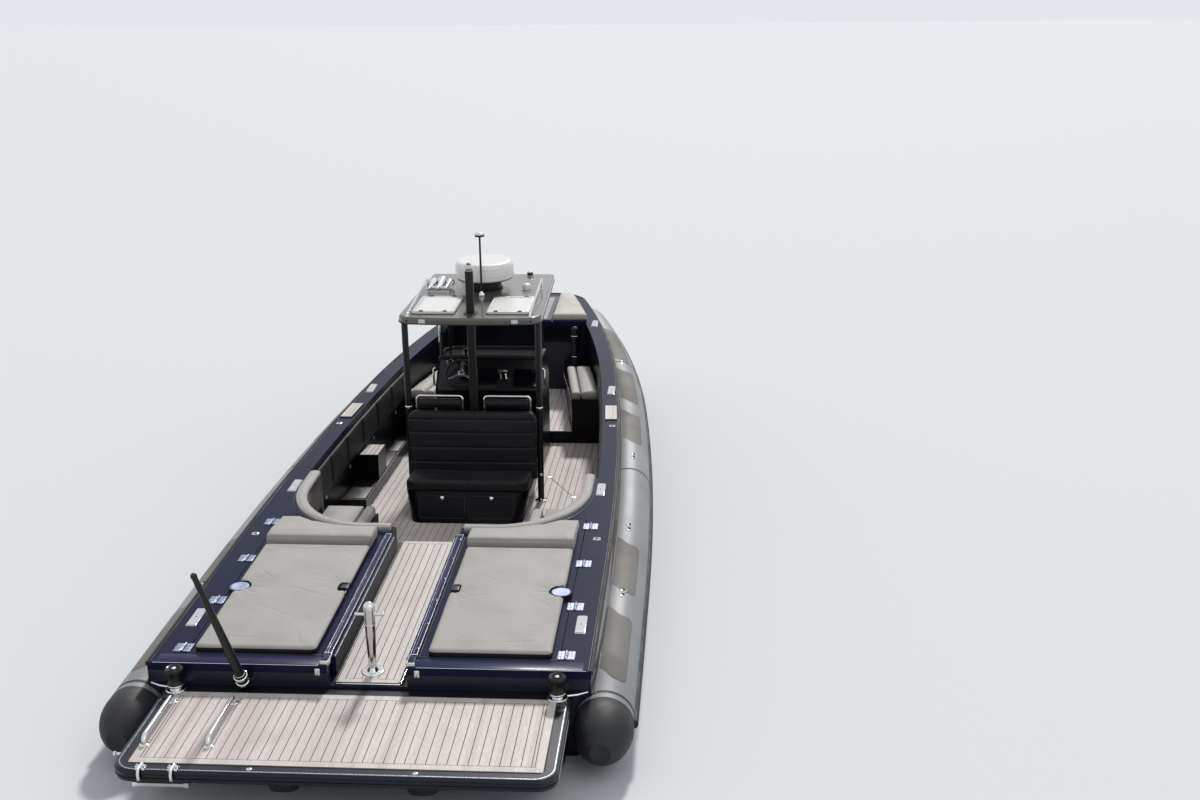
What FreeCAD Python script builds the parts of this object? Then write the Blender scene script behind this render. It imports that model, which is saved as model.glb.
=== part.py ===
# Rigid inflatable boat, 12.8 m, twin stern drives, hardtop over a centre console.
# Frame: millimetres, +X starboard, +Y forward, +Z up. The origin is on the centreline
# at the waterline, under the aft face of the transom.
# Everything on deck is drawn flat in the deck frame, whose z = 0 is the deck surface
# and whose y runs forward, and is then tilted by the sheer angle with on_deck().
import FreeCAD, Part
import math
import os

V = FreeCAD.Vector

# Driving dimensions: sheer and deck
SHEER = 3.4                # rise of deck, tubes and platform towards the bow, degrees
DECK_Z = 680.0             # deck surface at the transom above the waterline
DECK_T = 60.0              # thickness of the deck moulding
SEAT_GAP = 0.3             # clearance under what rests on a seat but can be lifted
RUN_GAP = 6.0              # running clearance beside moving pieces
REACH = 20000.0            # larger than the boat, for cutting planes

# Driving dimensions: tubes, and the plan line that deck, cockpit and tubes all follow
TUBE_R = 222.0
TUBE_IN = 35.0             # tube centre inboard of the plan line
TUBE_X = 1790.0            # plan line from the centreline along the stern
TUBE_DROP = 390.0          # tube centre below the deck surface
TUBE_AFT = -60.0           # where the grey tube ends and its black end begins
STRAIGHT_TO = 2000.0       # the side is straight to here
SIDE_TO = 7000.0           # then bends in gently to here
SIDE_R = 60000.0
SHOULDER_TO = 10900.0      # then more tightly to here
SHOULDER_R = 22000.0
BOW_R = 650.0              # round of the blunt bow
BOW_TIP = 11600.0          # beyond the foremost point of every plan line

# Driving dimensions: hull
DECK_EDGE = 130.0          # deck edge inboard of the plan line
GUNWALE = 315.0            # cockpit side inboard of the plan line
BOTTOM_SLOPE = 0.371       # deadrise of the aft sections
TRANSOM_T = 100.0
# station y, keel z, chine x, chine z, width of the chine flat
STATIONS = [
    (0.0, -600.0, 1400.0, -80.0, 60.0),
    (3200.0, -620.0, 1420.0, -75.0, 60.0),
    (6400.0, -590.0, 1400.0, 0.0, 55.0),
    (8600.0, -430.0, 1180.0, 180.0, 45.0),
    (10000.0, -110.0, 840.0, 430.0, 35.0),
    (10800.0, 280.0, 480.0, 670.0, 25.0),
    (11150.0, 490.0, 210.0, 700.0, 15.0),
]

# Driving dimensions: cockpit
SOLE_Z = 150.0             # walking surface above the waterline
SOLE_T = 12.0
COCKPIT_AFT = 2620.0
CORNER_X = 1305.0          # half width of the cockpit beside its aft corners
CORNER_TO = 3900.0         # from here the cockpit is as wide as the side decks allow
CORNER_ACROSS = 725.0      # the aft corners are quarter ellipses, this far across
CORNER_ALONG = 880.0       # and this far along
FORWARD_SEAT_AFT = 7650.0
FORWARD_SOLE_Z = 300.0
FORWARD_SHELF_Z = 700.0
FOOTWELL_AFT_X = 850.0     # the footwell between the forward seats narrows with the bow
FOOTWELL_FWD_X = 510.0
COCKPIT_FWD = FORWARD_SEAT_AFT + 2050.0
COMPANION_STEP = (280.0, 270.0)    # length and height of the step below the walkway

# Driving dimensions: aft deck, walkway, hatches
WALK_DROP = 140.0          # teak of the walkway below the deck surface
WALK_X = 236.0
TEAK_T = 12.0
RECESS_X = 300.0           # half width of the sunken walkway
LID_IN = 270.0
LID_OUT = 1410.0
LID_AFT = 150.0
LID_TIP = 2880.0           # furthest forward point of a lid, at its outboard side
LID_CLEAR = (150.0, 180.0)         # lid's forward edge stays this far outside the cockpit's
LID_LIP = 10.0             # a lid's forward edge is this thin, so that it swings clear of the deck
LID_RELIEF = 45.0          # and its thick part stays this far behind
LID_CORNER = 80.0
LID_WALL = 30.0
HINGE_X = 1457.0
HINGE_R = 8.0
HINGE_Y = [235.0, 1056.0, 1878.0, 2687.0]

# Driving dimensions: swim platform
PLATFORM_X = 1515.0
PLATFORM_AFT = -1180.0
PLATFORM_FWD = -22.0
PLATFORM_DROP = 175.0
PLATFORM_T = 85.0
PLATFORM_CORNER = 140.0
PLATFORM_BORDER = 92.0
PLATFORM_BEVEL = 14.0

# Driving dimensions: hardtop
ROOF_TOP = 1245.0          # above the deck surface, in the deck frame
ROOF_T = 75.0
ROOF_AFT = 5230.0
ROOF_FWD = 7250.0
ROOF_X_AFT = 765.0
ROOF_X_FWD = 715.0
ROOF_BOW = 45.0            # the aft edge is bowed out by this much
ROOF_R_AFT = 170.0
ROOF_R_FWD = 40.0

# Driving dimensions: machinery
DRIVE_X = 500.0
STEER_Y = -150.0
SHAFT_Z = -630.0
PROP_R = 200.0
PROP_Y = -880.0
ENGINE_FWD = 2250.0        # forward end of the engine spaces
BULKHEAD_T = 150.0         # from there to the end of the hull's aft length
ENGINE_BED_Z = -170.0
ENGINE_W = 560.0
ENGINE_L = 1080.0
ENGINE_H = 640.0

DECK_FRAME = FreeCAD.Placement(V(0, 0, DECK_Z), FreeCAD.Rotation(V(1, 0, 0), SHEER))


def save(node, *shapes):
    """Write one node; several shapes become solids that lie apart in it."""
    solids = []
    for shape in shapes:
        solids.extend(shape.Solids)
    out = solids[0] if len(solids) == 1 else Part.makeCompound(solids)
    out.exportStep(f"parts/{node}.step")


def box(x0, x1, y0, y1, z0, z1):
    return Part.makeBox(x1 - x0, y1 - y0, z1 - z0, V(x0, y0, z0))


def mirrored(shape):
    return shape.mirror(V(0, 0, 0), V(1, 0, 0))


def pair(shape):
    return shape, mirrored(shape)


def on_deck(shape):
    """Tilt a shape that was drawn in the deck frame."""
    out = shape.copy()
    out.Placement = DECK_FRAME.multiply(out.Placement)
    return out


def deck_point(x, y, z):
    return DECK_FRAME.multVec(V(x, y, z))


def deck_height(y):
    """Height of the deck surface over the waterline at a station."""
    return DECK_Z + y * math.tan(math.radians(SHEER))


def soften(shape, radius, pick):
    """Round the edges for which pick(edge) is true."""
    edges = [edge for edge in shape.Edges if pick(edge)]
    return shape.makeFillet(radius, edges) if edges else shape


def upright(edge):
    a, b = edge.Vertexes[0].Point, edge.Vertexes[-1].Point
    return abs(a.x - b.x) < 1 and abs(a.y - b.y) < 1 and abs(a.z - b.z) > 1


def at_top(shape):
    top = shape.BoundBox.ZMax
    return lambda edge: edge.BoundBox.ZMin > top - 0.5


def round_box(x0, x1, y0, y1, z0, z1, corner, edge=0.0):
    """A slab with round upright corners and, when asked, a round top edge."""
    body = soften(box(x0, x1, y0, y1, z0, z1), corner, upright)
    return soften(body, edge, at_top(body)) if edge else body


def cylinder(radius, length, base, axis=V(0, 0, 1)):
    return Part.makeCylinder(radius, length, base, axis)


def ring_pipe(points, radius, bend):
    """A round bar along a polyline whose corners are bent to one radius."""
    points = [V(*p) for p in points]
    edges = []
    start = points[0]
    for before, corner, after in zip(points, points[1:], points[2:]):
        u = (before - corner).normalize()
        w = (after - corner).normalize()
        half = u.getAngle(w) / 2
        run = bend / math.tan(half)
        a = corner + u * run
        b = corner + w * run
        bisector = (u + w).normalize()
        middle = corner + bisector * (bend / math.sin(half) - bend)
        edges.append(Part.makeLine(start, a))
        edges.append(Part.Arc(a, middle, b).toShape())
        start = b
    edges.append(Part.makeLine(start, points[-1]))
    spine = Part.Wire(edges)
    profile = Part.Wire(Part.makeCircle(radius, points[0], points[1] - points[0]))
    return spine.makePipeShell([profile], True, False)


# Plan of the boat: the tube centreline as tangent arcs, offset for every other line

def plan_arcs(offset):
    """Centre, radius and end angles of the side, shoulder and bow arcs."""
    side_centre = V(TUBE_X - SIDE_R, STRAIGHT_TO, 0)
    side_end = math.asin((SIDE_TO - STRAIGHT_TO) / SIDE_R)
    shift = SIDE_R - SHOULDER_R
    shoulder_centre = side_centre + V(math.cos(side_end), math.sin(side_end), 0) * shift
    shoulder_end = math.asin((SHOULDER_TO - shoulder_centre.y) / SHOULDER_R)
    shift = SHOULDER_R - BOW_R
    bow_centre = shoulder_centre + V(math.cos(shoulder_end), math.sin(shoulder_end), 0) * shift
    return [
        (side_centre, SIDE_R + offset, 0.0, side_end),
        (shoulder_centre, SHOULDER_R + offset, side_end, shoulder_end),
        (bow_centre, BOW_R + offset, shoulder_end, math.pi / 2),
    ]


def on_arc(arc, angle):
    return arc[0] + V(math.cos(angle), math.sin(angle), 0) * arc[1]


def plan_edges(offset, y_aft, z=0.0):
    """Starboard half of a plan line from y_aft round to the centreline at the bow."""
    lift = V(0, 0, z)
    arcs = plan_arcs(offset)
    edges = [Part.makeLine(V(TUBE_X + offset, y_aft, z), on_arc(arcs[0], 0.0) + lift)]
    for arc in arcs:
        start, end = on_arc(arc, arc[2]), on_arc(arc, arc[3])
        middle = on_arc(arc, (arc[2] + arc[3]) / 2)
        edges.append(Part.Arc(start + lift, middle + lift, end + lift).toShape())
    bow = on_arc(arcs[-1], arcs[-1][3])
    edges.append(Part.makeLine(bow + lift, V(0, bow.y, z)))
    return edges


def plan_x(y, offset=0.0):
    """Half width of a plan line at a station."""
    arcs = plan_arcs(offset)
    if y <= STRAIGHT_TO:
        return TUBE_X + offset
    for arc in arcs:
        if y <= on_arc(arc, arc[3]).y + 1e-6:
            return arc[0].x + math.sqrt(arc[1] ** 2 - (y - arc[0].y) ** 2)
    return 0.0


def plan_slab(offset, y0, y1, z0, z1):
    """The area inside a plan line between two stations, as a slab in the deck frame."""
    edges = plan_edges(offset, min(y0, 0.0), z0)
    wire = Part.Wire(edges)
    tip = V(0, edges[-1].BoundBox.YMax, z0)
    tail = V(0, min(y0, 0.0), z0)
    outline = Part.Wire([*wire.Edges, Part.makeLine(tip, tail), Part.makeLine(tail, edges[0].Vertexes[0].Point)])
    half = Part.Face(outline).extrude(V(0, 0, z1 - z0))
    whole = half.fuse(mirrored(half)).removeSplitter()
    reach = TUBE_X + abs(offset) + 500
    return whole.common(box(-reach, reach, y0, y1, z0 - 1, z1 + 1))


def plan_band(outer, inner, y0, y1, z0, z1):
    """A strip between two plan lines on the starboard side, in the deck frame."""
    ring = plan_slab(outer, y0, y1, z0, z1).cut(plan_slab(inner, y0 - 1, y1 + 1, z0 - 1, z1 + 1))
    strip = ring.common(box(1, TUBE_X * 2, y0, y1, z0, z1))
    return strip


# Tubes

def tube_half():
    spine = Part.Wire(plan_edges(-TUBE_IN, TUBE_AFT, -TUBE_DROP))
    profile = Part.Wire(Part.makeCircle(TUBE_R, V(TUBE_X - TUBE_IN, TUBE_AFT, -TUBE_DROP), V(0, 1, 0)))
    return on_deck(spine.makePipeShell([profile], True, False))


def tube_end():
    """Blunt ogive that closes the stern of a tube, revolved on the tube's axis."""
    straight = 60.0
    tip = 420.0
    nose = 75.0
    a = V(TUBE_R, 0, 0)
    b = V(TUBE_R, -straight, 0)
    c = V(TUBE_R * 0.86, -straight - (tip - straight) * 0.54, 0)
    d = V(nose, -tip, 0)
    profile = Part.Wire([
        Part.makeLine(V(0, 0, 0), a),
        Part.makeLine(a, b),
        Part.Arc(b, c, d).toShape(),
        Part.makeLine(d, V(0, -tip, 0)),
        Part.makeLine(V(0, -tip, 0), V(0, 0, 0)),
    ])
    solid = Part.Face(profile).revolve(V(0, 0, 0), V(0, 1, 0), 360)
    solid.translate(V(TUBE_X - TUBE_IN, TUBE_AFT, -TUBE_DROP))
    return on_deck(solid)


STRAKE_H = 78.0
STRAKE_T = 30.0


def rub_strake(tube):
    """Rubber fender strip round the outside of the tube, seated on it."""
    sink = 12.0
    out = TUBE_R - TUBE_IN
    x0, x1 = TUBE_X + out - sink, TUBE_X + out + STRAKE_T
    z = -TUBE_DROP
    y = TUBE_AFT
    lower = V(x0, y, z - STRAKE_H / 2)
    knee_low = V(x1 - 14, y, z - STRAKE_H / 2 + 8)
    nose = V(x1, y, z)
    knee_high = V(x1 - 14, y, z + STRAKE_H / 2 - 8)
    upper = V(x0, y, z + STRAKE_H / 2)
    profile = Part.Wire([
        Part.makeLine(lower, knee_low),
        Part.Arc(knee_low, nose, knee_high).toShape(),
        Part.makeLine(knee_high, upper),
        Part.makeLine(upper, lower),
    ])
    spine = Part.Wire(plan_edges(out, y, z))
    strip = on_deck(spine.makePipeShell([profile], True, False))
    return strip.cut(tube)


# Hull and deck

SIDE_SET = 2.0             # topsides above the tube stand this far inside the deck edge
BOW_FILL_AFT = 10700.0     # from here the topsides round the bow are drawn apart


def hull_section(station):
    y, keel_z, chine_x, chine_z, flat = station
    tube_low = deck_height(y) - TUBE_DROP - TUBE_R
    side = plan_x(y) - DECK_EDGE - SIDE_SET
    half = [
        (chine_x, chine_z),
        (chine_x + flat, chine_z - flat * 0.1),
        (side, tube_low + 40),
        (side, deck_height(y) + 40),
    ]
    points = [V(0, y, keel_z)]
    points += [V(x, y, z) for x, z in half]
    points += [V(-x, y, z) for x, z in reversed(half)]
    return Part.makePolygon(points + points[:1])


def above_deck_bottom():
    return on_deck(box(-REACH, REACH, -REACH, REACH, -DECK_T, REACH))


def corner_area(grow_x, grow_y, y_to, z0, z1):
    """Aft end of the cockpit between its elliptic corners, grown outward when asked."""
    across, along = CORNER_ACROSS + grow_x, CORNER_ALONG + grow_y
    cx, cy = CORNER_X - CORNER_ACROSS, COCKPIT_AFT + CORNER_ALONG

    def on_corner(degrees):
        angle = math.radians(degrees)
        return V(cx + across * math.sin(angle), cy - along * math.cos(angle), z0)

    edges = [Part.makeLine(V(0, cy - along, z0), on_corner(0))]
    for start in (0, 18, 36, 54, 72):
        edges.append(Part.Arc(on_corner(start), on_corner(start + 9), on_corner(start + 18)).toShape())
    side, corner = V(cx + across, y_to, z0), V(0, y_to, z0)
    edges.append(Part.makeLine(on_corner(90), side))
    edges.append(Part.makeLine(side, corner))
    edges.append(Part.makeLine(corner, V(0, cy - along, z0)))
    half = Part.Face(Part.Wire(edges)).extrude(V(0, 0, z1 - z0))
    return half.fuse(mirrored(half)).removeSplitter()


def cockpit_area(z0, z1):
    """Plan of the cockpit opening as a slab in the deck frame."""
    main = plan_slab(-GUNWALE, CORNER_TO, COCKPIT_FWD, z0, z1)
    return main.fuse(corner_area(0, 0, CORNER_TO + 1, z0, z1))


def cockpit_well(floor_z):
    """Space of the cockpit, tilted sides, down to a level floor."""
    well = on_deck(cockpit_area(-1500, 400))
    return well.cut(box(-REACH, REACH, -REACH, REACH, -REACH, floor_z))


def companion_step():
    """Step at the aft end of the sole, below the walkway."""
    length, height = COMPANION_STEP
    return box(-RECESS_X, RECESS_X, COCKPIT_AFT - 100, COCKPIT_AFT + length, 0, SOLE_Z + height)


def forward_block(z0, z1):
    """Everything forward of the helm's space between two heights."""
    return box(-REACH, REACH, FORWARD_SEAT_AFT, COCKPIT_FWD + 500, z0, z1)


def footwell(z0, z1):
    """Wedge between the forward seats."""
    y0, y1 = FORWARD_SEAT_AFT - 1, COCKPIT_FWD + 500
    low, high = FOOTWELL_AFT_X, FOOTWELL_FWD_X
    points = [V(-low, y0, z0), V(low, y0, z0), V(high, y1, z0), V(-high, y1, z0)]
    return Part.Face(Part.makePolygon(points + points[:1])).extrude(V(0, 0, z1 - z0))


def engine_well():
    """Starboard engine space: flat engine bed, then parallel to the hull's bottom."""
    bed_z = ENGINE_BED_Z
    out_x = LID_OUT - 70
    knee = 900.0
    rise = (out_x - knee) * BOTTOM_SLOPE
    points = [
        (RECESS_X, bed_z), (knee, bed_z), (out_x, bed_z + rise),
        (out_x, DECK_Z * 2), (RECESS_X, DECK_Z * 2),
    ]
    wire = Part.makePolygon([V(x, TRANSOM_T, z) for x, z in points + points[:1]])
    return Part.Face(wire).extrude(V(0, ENGINE_FWD - TRANSOM_T, 0))


def engine():
    """Marine diesel as one plain block on its bed, crank line to the stern drive."""
    x0 = DRIVE_X - ENGINE_W / 2 + 90
    y0 = TRANSOM_T + 60
    return box(x0, x0 + ENGINE_W, y0, y0 + ENGINE_L, ENGINE_BED_Z, ENGINE_BED_Z + ENGINE_H)


def walkway_recess(z1):
    return on_deck(box(-RECESS_X, RECESS_X, -50, COCKPIT_AFT + 60, -WALK_DROP - TEAK_T, z1))


def make_hull(tubes):
    """Three lengths of the hull from aft, then the starboard topside and bow seat box."""
    body = Part.makeLoft([hull_section(s) for s in STATIONS], True, False)
    body = body.fuse(on_deck(plan_slab(-DECK_EDGE - SIDE_SET, BOW_FILL_AFT, BOW_TIP, -TUBE_DROP, -DECK_T)))
    body = body.cut(above_deck_bottom())
    for tube in tubes:
        body = body.cut(tube)
    space = cockpit_well(SOLE_Z - SOLE_T).cut(forward_block(-REACH, FORWARD_SHELF_Z)).cut(companion_step())
    body = body.cut(space)
    body = body.cut(footwell(FORWARD_SOLE_Z - SOLE_T, FORWARD_SHELF_Z + 1).common(cockpit_well(SOLE_Z)))
    for spare in pair(engine_well()):
        body = body.cut(spare)
    body = body.cut(walkway_recess(200))
    beside = box(RECESS_X, REACH, COCKPIT_AFT, COCKPIT_FWD, SOLE_Z - SOLE_T, REACH)
    side = body.common(beside)
    topside, bow_seat = (side.common(box(0, REACH, y0, y1, 0, REACH)) for y0, y1 in
                         ((COCKPIT_AFT, FORWARD_SEAT_AFT), (FORWARD_SEAT_AFT, COCKPIT_FWD)))
    body = body.cut(beside).cut(mirrored(beside))
    ends = (-REACH, ENGINE_FWD + BULKHEAD_T, FORWARD_SEAT_AFT, REACH)
    lengths = [body.common(box(-REACH, REACH, y0, y1, -REACH, REACH)) for y0, y1 in zip(ends, ends[1:])]
    return lengths, topside, bow_seat


def lid_area(gap, z0, z1):
    """Outline of the starboard lid, grown by a gap, as a slab in the deck frame."""
    area = box(LID_IN - gap, LID_OUT + gap, LID_AFT - gap, LID_TIP + gap, z0, z1)
    area = area.cut(corner_area(LID_CLEAR[0] - gap, LID_CLEAR[1] - gap, LID_TIP * 2, z0 - 1, z1 + 1))
    tip = LID_TIP + gap
    return soften(area, LID_CORNER + gap, lambda e: upright(e) and e.BoundBox.YMin > tip - 1
                  and e.BoundBox.XMin > LID_OUT - 1)


def make_deck(tubes):
    """Deck moulding with its openings, in four pieces: aft, both sides, foredeck."""
    low, high = -DECK_T - 1, 1
    slab = plan_slab(-DECK_EDGE, 0.0, BOW_TIP, -DECK_T, 0.0).cut(cockpit_area(low, high))
    for area in pair(lid_area(RUN_GAP, low, high)):
        slab = slab.cut(area)
    slab = on_deck(slab.cut(box(-RECESS_X, RECESS_X, -10, COCKPIT_AFT + 10, low, high)))
    for tube in tubes:
        slab = slab.cut(tube)
    aft = slab.common(on_deck(box(-REACH, REACH, -REACH, CORNER_TO, low - 9, high + 9)))
    fore = slab.common(on_deck(box(-REACH, REACH, COCKPIT_FWD, REACH, low - 9, high + 9)))
    side = slab.common(on_deck(box(0, REACH, CORNER_TO, COCKPIT_FWD, low - 9, high + 9)))
    return aft, side, fore


# Swim platform

def platform_slab(top_drop, thickness, inset):
    """Platform outline in the deck frame: round aft corners, square at the transom."""
    x = PLATFORM_X - inset
    body = box(-x, x, PLATFORM_AFT + inset, PLATFORM_FWD - inset, -top_drop - thickness, -top_drop)
    corner = PLATFORM_CORNER - inset
    return soften(body, corner, lambda e: upright(e) and e.BoundBox.YMax < PLATFORM_AFT + inset + 1)


def platform_frame():
    """Bevelled frame with a recess for the teak."""
    panel = platform_slab(PLATFORM_DROP, TEAK_T, PLATFORM_BORDER)
    body = platform_slab(PLATFORM_DROP, PLATFORM_T, 0.0)
    top = at_top(body)
    rim = [edge for edge in body.Edges if top(edge) and edge.BoundBox.YMin < PLATFORM_FWD - 1]
    return on_deck(body.makeChamfer(PLATFORM_BEVEL, rim).cut(panel))


def platform_teak():
    return on_deck(platform_slab(PLATFORM_DROP, TEAK_T, PLATFORM_BORDER))


BRACKET_X = 1440.0
BRACKET_W = 60.0
BRACKET_DEEP = 420.0


def platform_bracket():
    """Gusset from the transom under the platform, starboard side."""
    top = deck_height(0) - PLATFORM_DROP
    tip = PLATFORM_AFT + 220
    points = [
        (0, top), (0, top - PLATFORM_T - BRACKET_DEEP), (-90, top - PLATFORM_T - BRACKET_DEEP),
        (tip, deck_height(tip) - PLATFORM_DROP - PLATFORM_T - 45), (tip, top),
    ]
    wire = Part.makePolygon([V(BRACKET_X - BRACKET_W / 2, y, z) for y, z in points + points[:1]])
    gusset = Part.Face(wire).extrude(V(BRACKET_W, 0, 0))
    above = on_deck(box(-3000, 3000, -3000, 3000, -PLATFORM_DROP - PLATFORM_T, 3000))
    return gusset.cut(above)


RAIL_X_OUT = -1385.0
RAIL_X_IN = -930.0
RAIL_Y = (-270.0, -860.0)
RAIL_H = 62.0
RAIL_R = 18.0
RAIL_BEND = 44.0


def platform_rails():
    """Two chrome hoops on the port side, feet on the platform frame's panel."""
    base = -PLATFORM_DROP
    fwd, aft = RAIL_Y
    hoops = []
    for x in (RAIL_X_OUT, RAIL_X_IN):
        points = [(x, fwd, base), (x, fwd, base + RAIL_H), (x, aft, base + RAIL_H), (x, aft, base)]
        hoops.append(on_deck(ring_pipe(points, RAIL_R, RAIL_BEND)))
    return hoops


def boarding_ladder():
    """Folded ladder under the platform's port corner: two rails, three treads."""
    top = -PLATFORM_DROP - PLATFORM_T
    x0, x1 = -1370.0, -980.0
    y0, y1 = PLATFORM_AFT + 12, PLATFORM_AFT + 560
    tray = box(x0 - 30, x1 + 30, y0 + 40, y1, top - 14, top)
    rails = [box(x, x + 34, y0, y1 - 20, top - 48, top - 14) for x in (x0, x1 - 34)]
    treads = [box(x0 + 20, x1 - 20, y, y + 60, top - 42, top - 20) for y in (y0, y0 + 170, y0 + 340)]
    body = tray
    for piece in rails + treads:
        body = body.fuse(piece)
    return on_deck(body)


CAPSTAN_X = 1420.0
CAPSTAN_Y = -95.0
CAPSTAN_R = 62.0
CAPSTAN_H = 190.0
CAPSTAN_FOOT = 40.0


def capstan_foot():
    base = V(CAPSTAN_X, CAPSTAN_Y, -PLATFORM_DROP)
    foot = cylinder(CAPSTAN_R + 14, CAPSTAN_FOOT * 0.5, base)
    foot = soften(foot, 8, at_top(foot))
    neck = cylinder(CAPSTAN_R * 0.72, CAPSTAN_FOOT, base)
    pin = cylinder(12, CAPSTAN_H * 0.7, base)
    return on_deck(foot.fuse(neck).fuse(pin))


def capstan_drum():
    """Waisted drum turned about its pin, with a broad cap."""
    low = CAPSTAN_FOOT + 2
    high = CAPSTAN_H
    r = CAPSTAN_R
    bore = 13.0
    points = [V(bore, 0, low), V(r, 0, low), V(r, 0, low + 14)]
    waist_top = V(r * 0.86, 0, high - 44)
    arc = Part.Arc(points[-1], V(r * 0.7, 0, (low + high) / 2 - 10), waist_top).toShape()
    dish = [V(r + 4, 0, high - 30), V(r + 4, 0, high - 12), V(r - 6, 0, high), V(r - 16, 0, high - 4),
            V(26, 0, high - 22), V(20, 0, high - 8), V(0, 0, high - 4)]
    rest = [waist_top, *dish, V(0, 0, CAPSTAN_H * 0.7 + 1), V(bore, 0, CAPSTAN_H * 0.7 + 1), points[0]]
    edges = [Part.makeLine(a, b) for a, b in zip(points, points[1:])]
    edges.append(arc)
    edges += [Part.makeLine(a, b) for a, b in zip(rest, rest[1:])]
    drum = Part.Face(Part.Wire(edges)).revolve(V(0, 0, 0), V(0, 0, 1), 360)
    drum.translate(V(CAPSTAN_X, CAPSTAN_Y, -PLATFORM_DROP))
    return on_deck(drum)


FLAG_FOOT = (-915.0, -62.0, -118.0)     # in the deck frame
FLAG_LEAN = 27.0
FLAG_L = 1270.0
FLAG_R_LOW = 38.0
FLAG_R_HIGH = 20.0


def flagstaff():
    """Raked tapering staff in a bracket on the transom's face, port side, no flag."""
    base = V(*FLAG_FOOT)
    x, y, z = FLAG_FOOT
    block = box(x - 45, x + 45, y, 20, z - 32, z + 56)
    lean = math.radians(FLAG_LEAN)
    axis = V(-0.06, -math.sin(lean), math.cos(lean)).normalize()
    socket = cylinder(FLAG_R_LOW + 8, 110, base - axis * 10, axis)
    staff = Part.makeCone(FLAG_R_LOW, FLAG_R_HIGH, FLAG_L, base, axis)
    knob = Part.makeSphere(FLAG_R_HIGH, base + axis * FLAG_L)
    inside = box(-REACH, REACH, 0, REACH, -REACH, REACH)
    return on_deck(block.fuse(socket).fuse(staff).fuse(knob)).cut(inside)


SKI_Y = 190.0
SKI_H = 535.0
SKI_R_LOW = 30.0
SKI_R_HIGH = 42.0
SKI_BAR = 205.0


def ski_pole():
    """Tow post on the walkway: flange, post widening upward, round head, crossbar."""
    base = V(0, SKI_Y, -WALK_DROP)
    flange = cylinder(82, 10, base)
    collar = Part.makeCone(50, SKI_R_LOW, 42, base)
    post = Part.makeCone(SKI_R_LOW, SKI_R_HIGH, SKI_H, base)
    head = Part.makeSphere(SKI_R_HIGH, base + V(0, 0, SKI_H))
    bar = cylinder(11, SKI_BAR, base + V(-SKI_BAR / 2, 0, SKI_H - 60), V(1, 0, 0))
    return on_deck(flange.fuse(collar).fuse(post).fuse(head).fuse(bar))


# Walkway, hatches and sunpads

def walkway_teak():
    floor = -WALK_DROP - TEAK_T
    return on_deck(box(-WALK_X, WALK_X, 12, COCKPIT_AFT, floor, floor + TEAK_T))


HINGE_W = 130.0
LEAF_W = 66.0
LEAF_T = 5.0
KNUCKLE = 42.0


def hatch_hinge(y):
    """Fixed leaf with its outer knuckles and pin."""
    x, z = HINGE_X, HINGE_R
    y0, y1 = y - HINGE_W / 2, y + HINGE_W / 2
    leaf = box(x + HINGE_R + 2, x + LEAF_W, y0, y1, 0, LEAF_T)
    for a, b in ((y0, y0 + KNUCKLE), (y1 - KNUCKLE, y1)):
        leaf = leaf.fuse(box(x, x + HINGE_R + 3, a, b, 0, LEAF_T))
        leaf = leaf.fuse(cylinder(HINGE_R, b - a, V(x, a, z), V(0, 1, 0)))
    return leaf.fuse(cylinder(HINGE_R * 0.45, HINGE_W, V(x, y0, z), V(0, 1, 0)))


def lid_leaf(y):
    """Moving leaf with the middle knuckle, on the lid."""
    x, z = HINGE_X, HINGE_R
    y0, y1 = y - HINGE_W / 2, y + HINGE_W / 2
    a, b = y0 + KNUCKLE + 2, y1 - KNUCKLE - 2
    leaf = box(x - LEAF_W, x - HINGE_R - 2, y0, y1, 0, LEAF_T)
    leaf = leaf.fuse(box(x - HINGE_R - 3, x, a, b, SEAT_GAP, LEAF_T))
    knuckle = cylinder(HINGE_R - 0.5, b - a, V(x, a, z), V(0, 1, 0))
    bore = cylinder(HINGE_R * 0.45 + 0.5, b - a + 2, V(x, a - 1, z), V(0, 1, 0))
    leaf = leaf.fuse(knuckle).cut(bore)
    return leaf.cut(box(LID_OUT, x + 20, y0 - 1, y1 + 1, -1, SEAT_GAP))


LID_RAIL_X = (300.0, 346.0)
LID_RAIL_H = 24.0


def hatch_lid():
    """Starboard engine hatch: slab, inboard skirt down to the walkway, box rail, leaves."""
    bottom = -DECK_T + SEAT_GAP
    skirt_z = -WALK_DROP - TEAK_T + SEAT_GAP
    flat_fwd = COCKPIT_AFT - LID_CLEAR[1]
    lid = lid_area(0.0, bottom, 0.0)
    relief = corner_area(LID_CLEAR[0] + LID_RELIEF, LID_CLEAR[1] + LID_RELIEF, LID_TIP * 2, bottom - 1, -LID_LIP)
    lid = lid.cut(relief)
    lid = lid.fuse(box(LID_IN, LID_IN + LID_WALL - SEAT_GAP, LID_AFT, flat_fwd - LID_RELIEF, skirt_z, -20))
    rail = box(*LID_RAIL_X, LID_AFT + 12, flat_fwd - 40, -5, LID_RAIL_H)
    lid = lid.fuse(soften(rail, 8, at_top(rail)))
    for y in HINGE_Y:
        lid = lid.fuse(lid_leaf(y))
    return on_deck(lid)


PAD_IN = 415.0
PAD_OUT = 1362.0
PAD_AFT = 176.0
PAD_FWD = 2113.0
PAD_T = 58.0
PAD_CUP = (1335.0, 1240.0, 97.0)   # round cut-out: x, y, radius
PAD_LATCH = (82.0, 1180.0, 1330.0) # cut-out at the inboard side: depth, y from, y to
BOLSTER_GAP = 6.0
BOLSTER_TIP = 2680.0
BOLSTER_H = 120.0
BOLSTER_CLEAR = (200.0, 210.0)     # its forward edge stays this far outside the cockpit's


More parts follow.
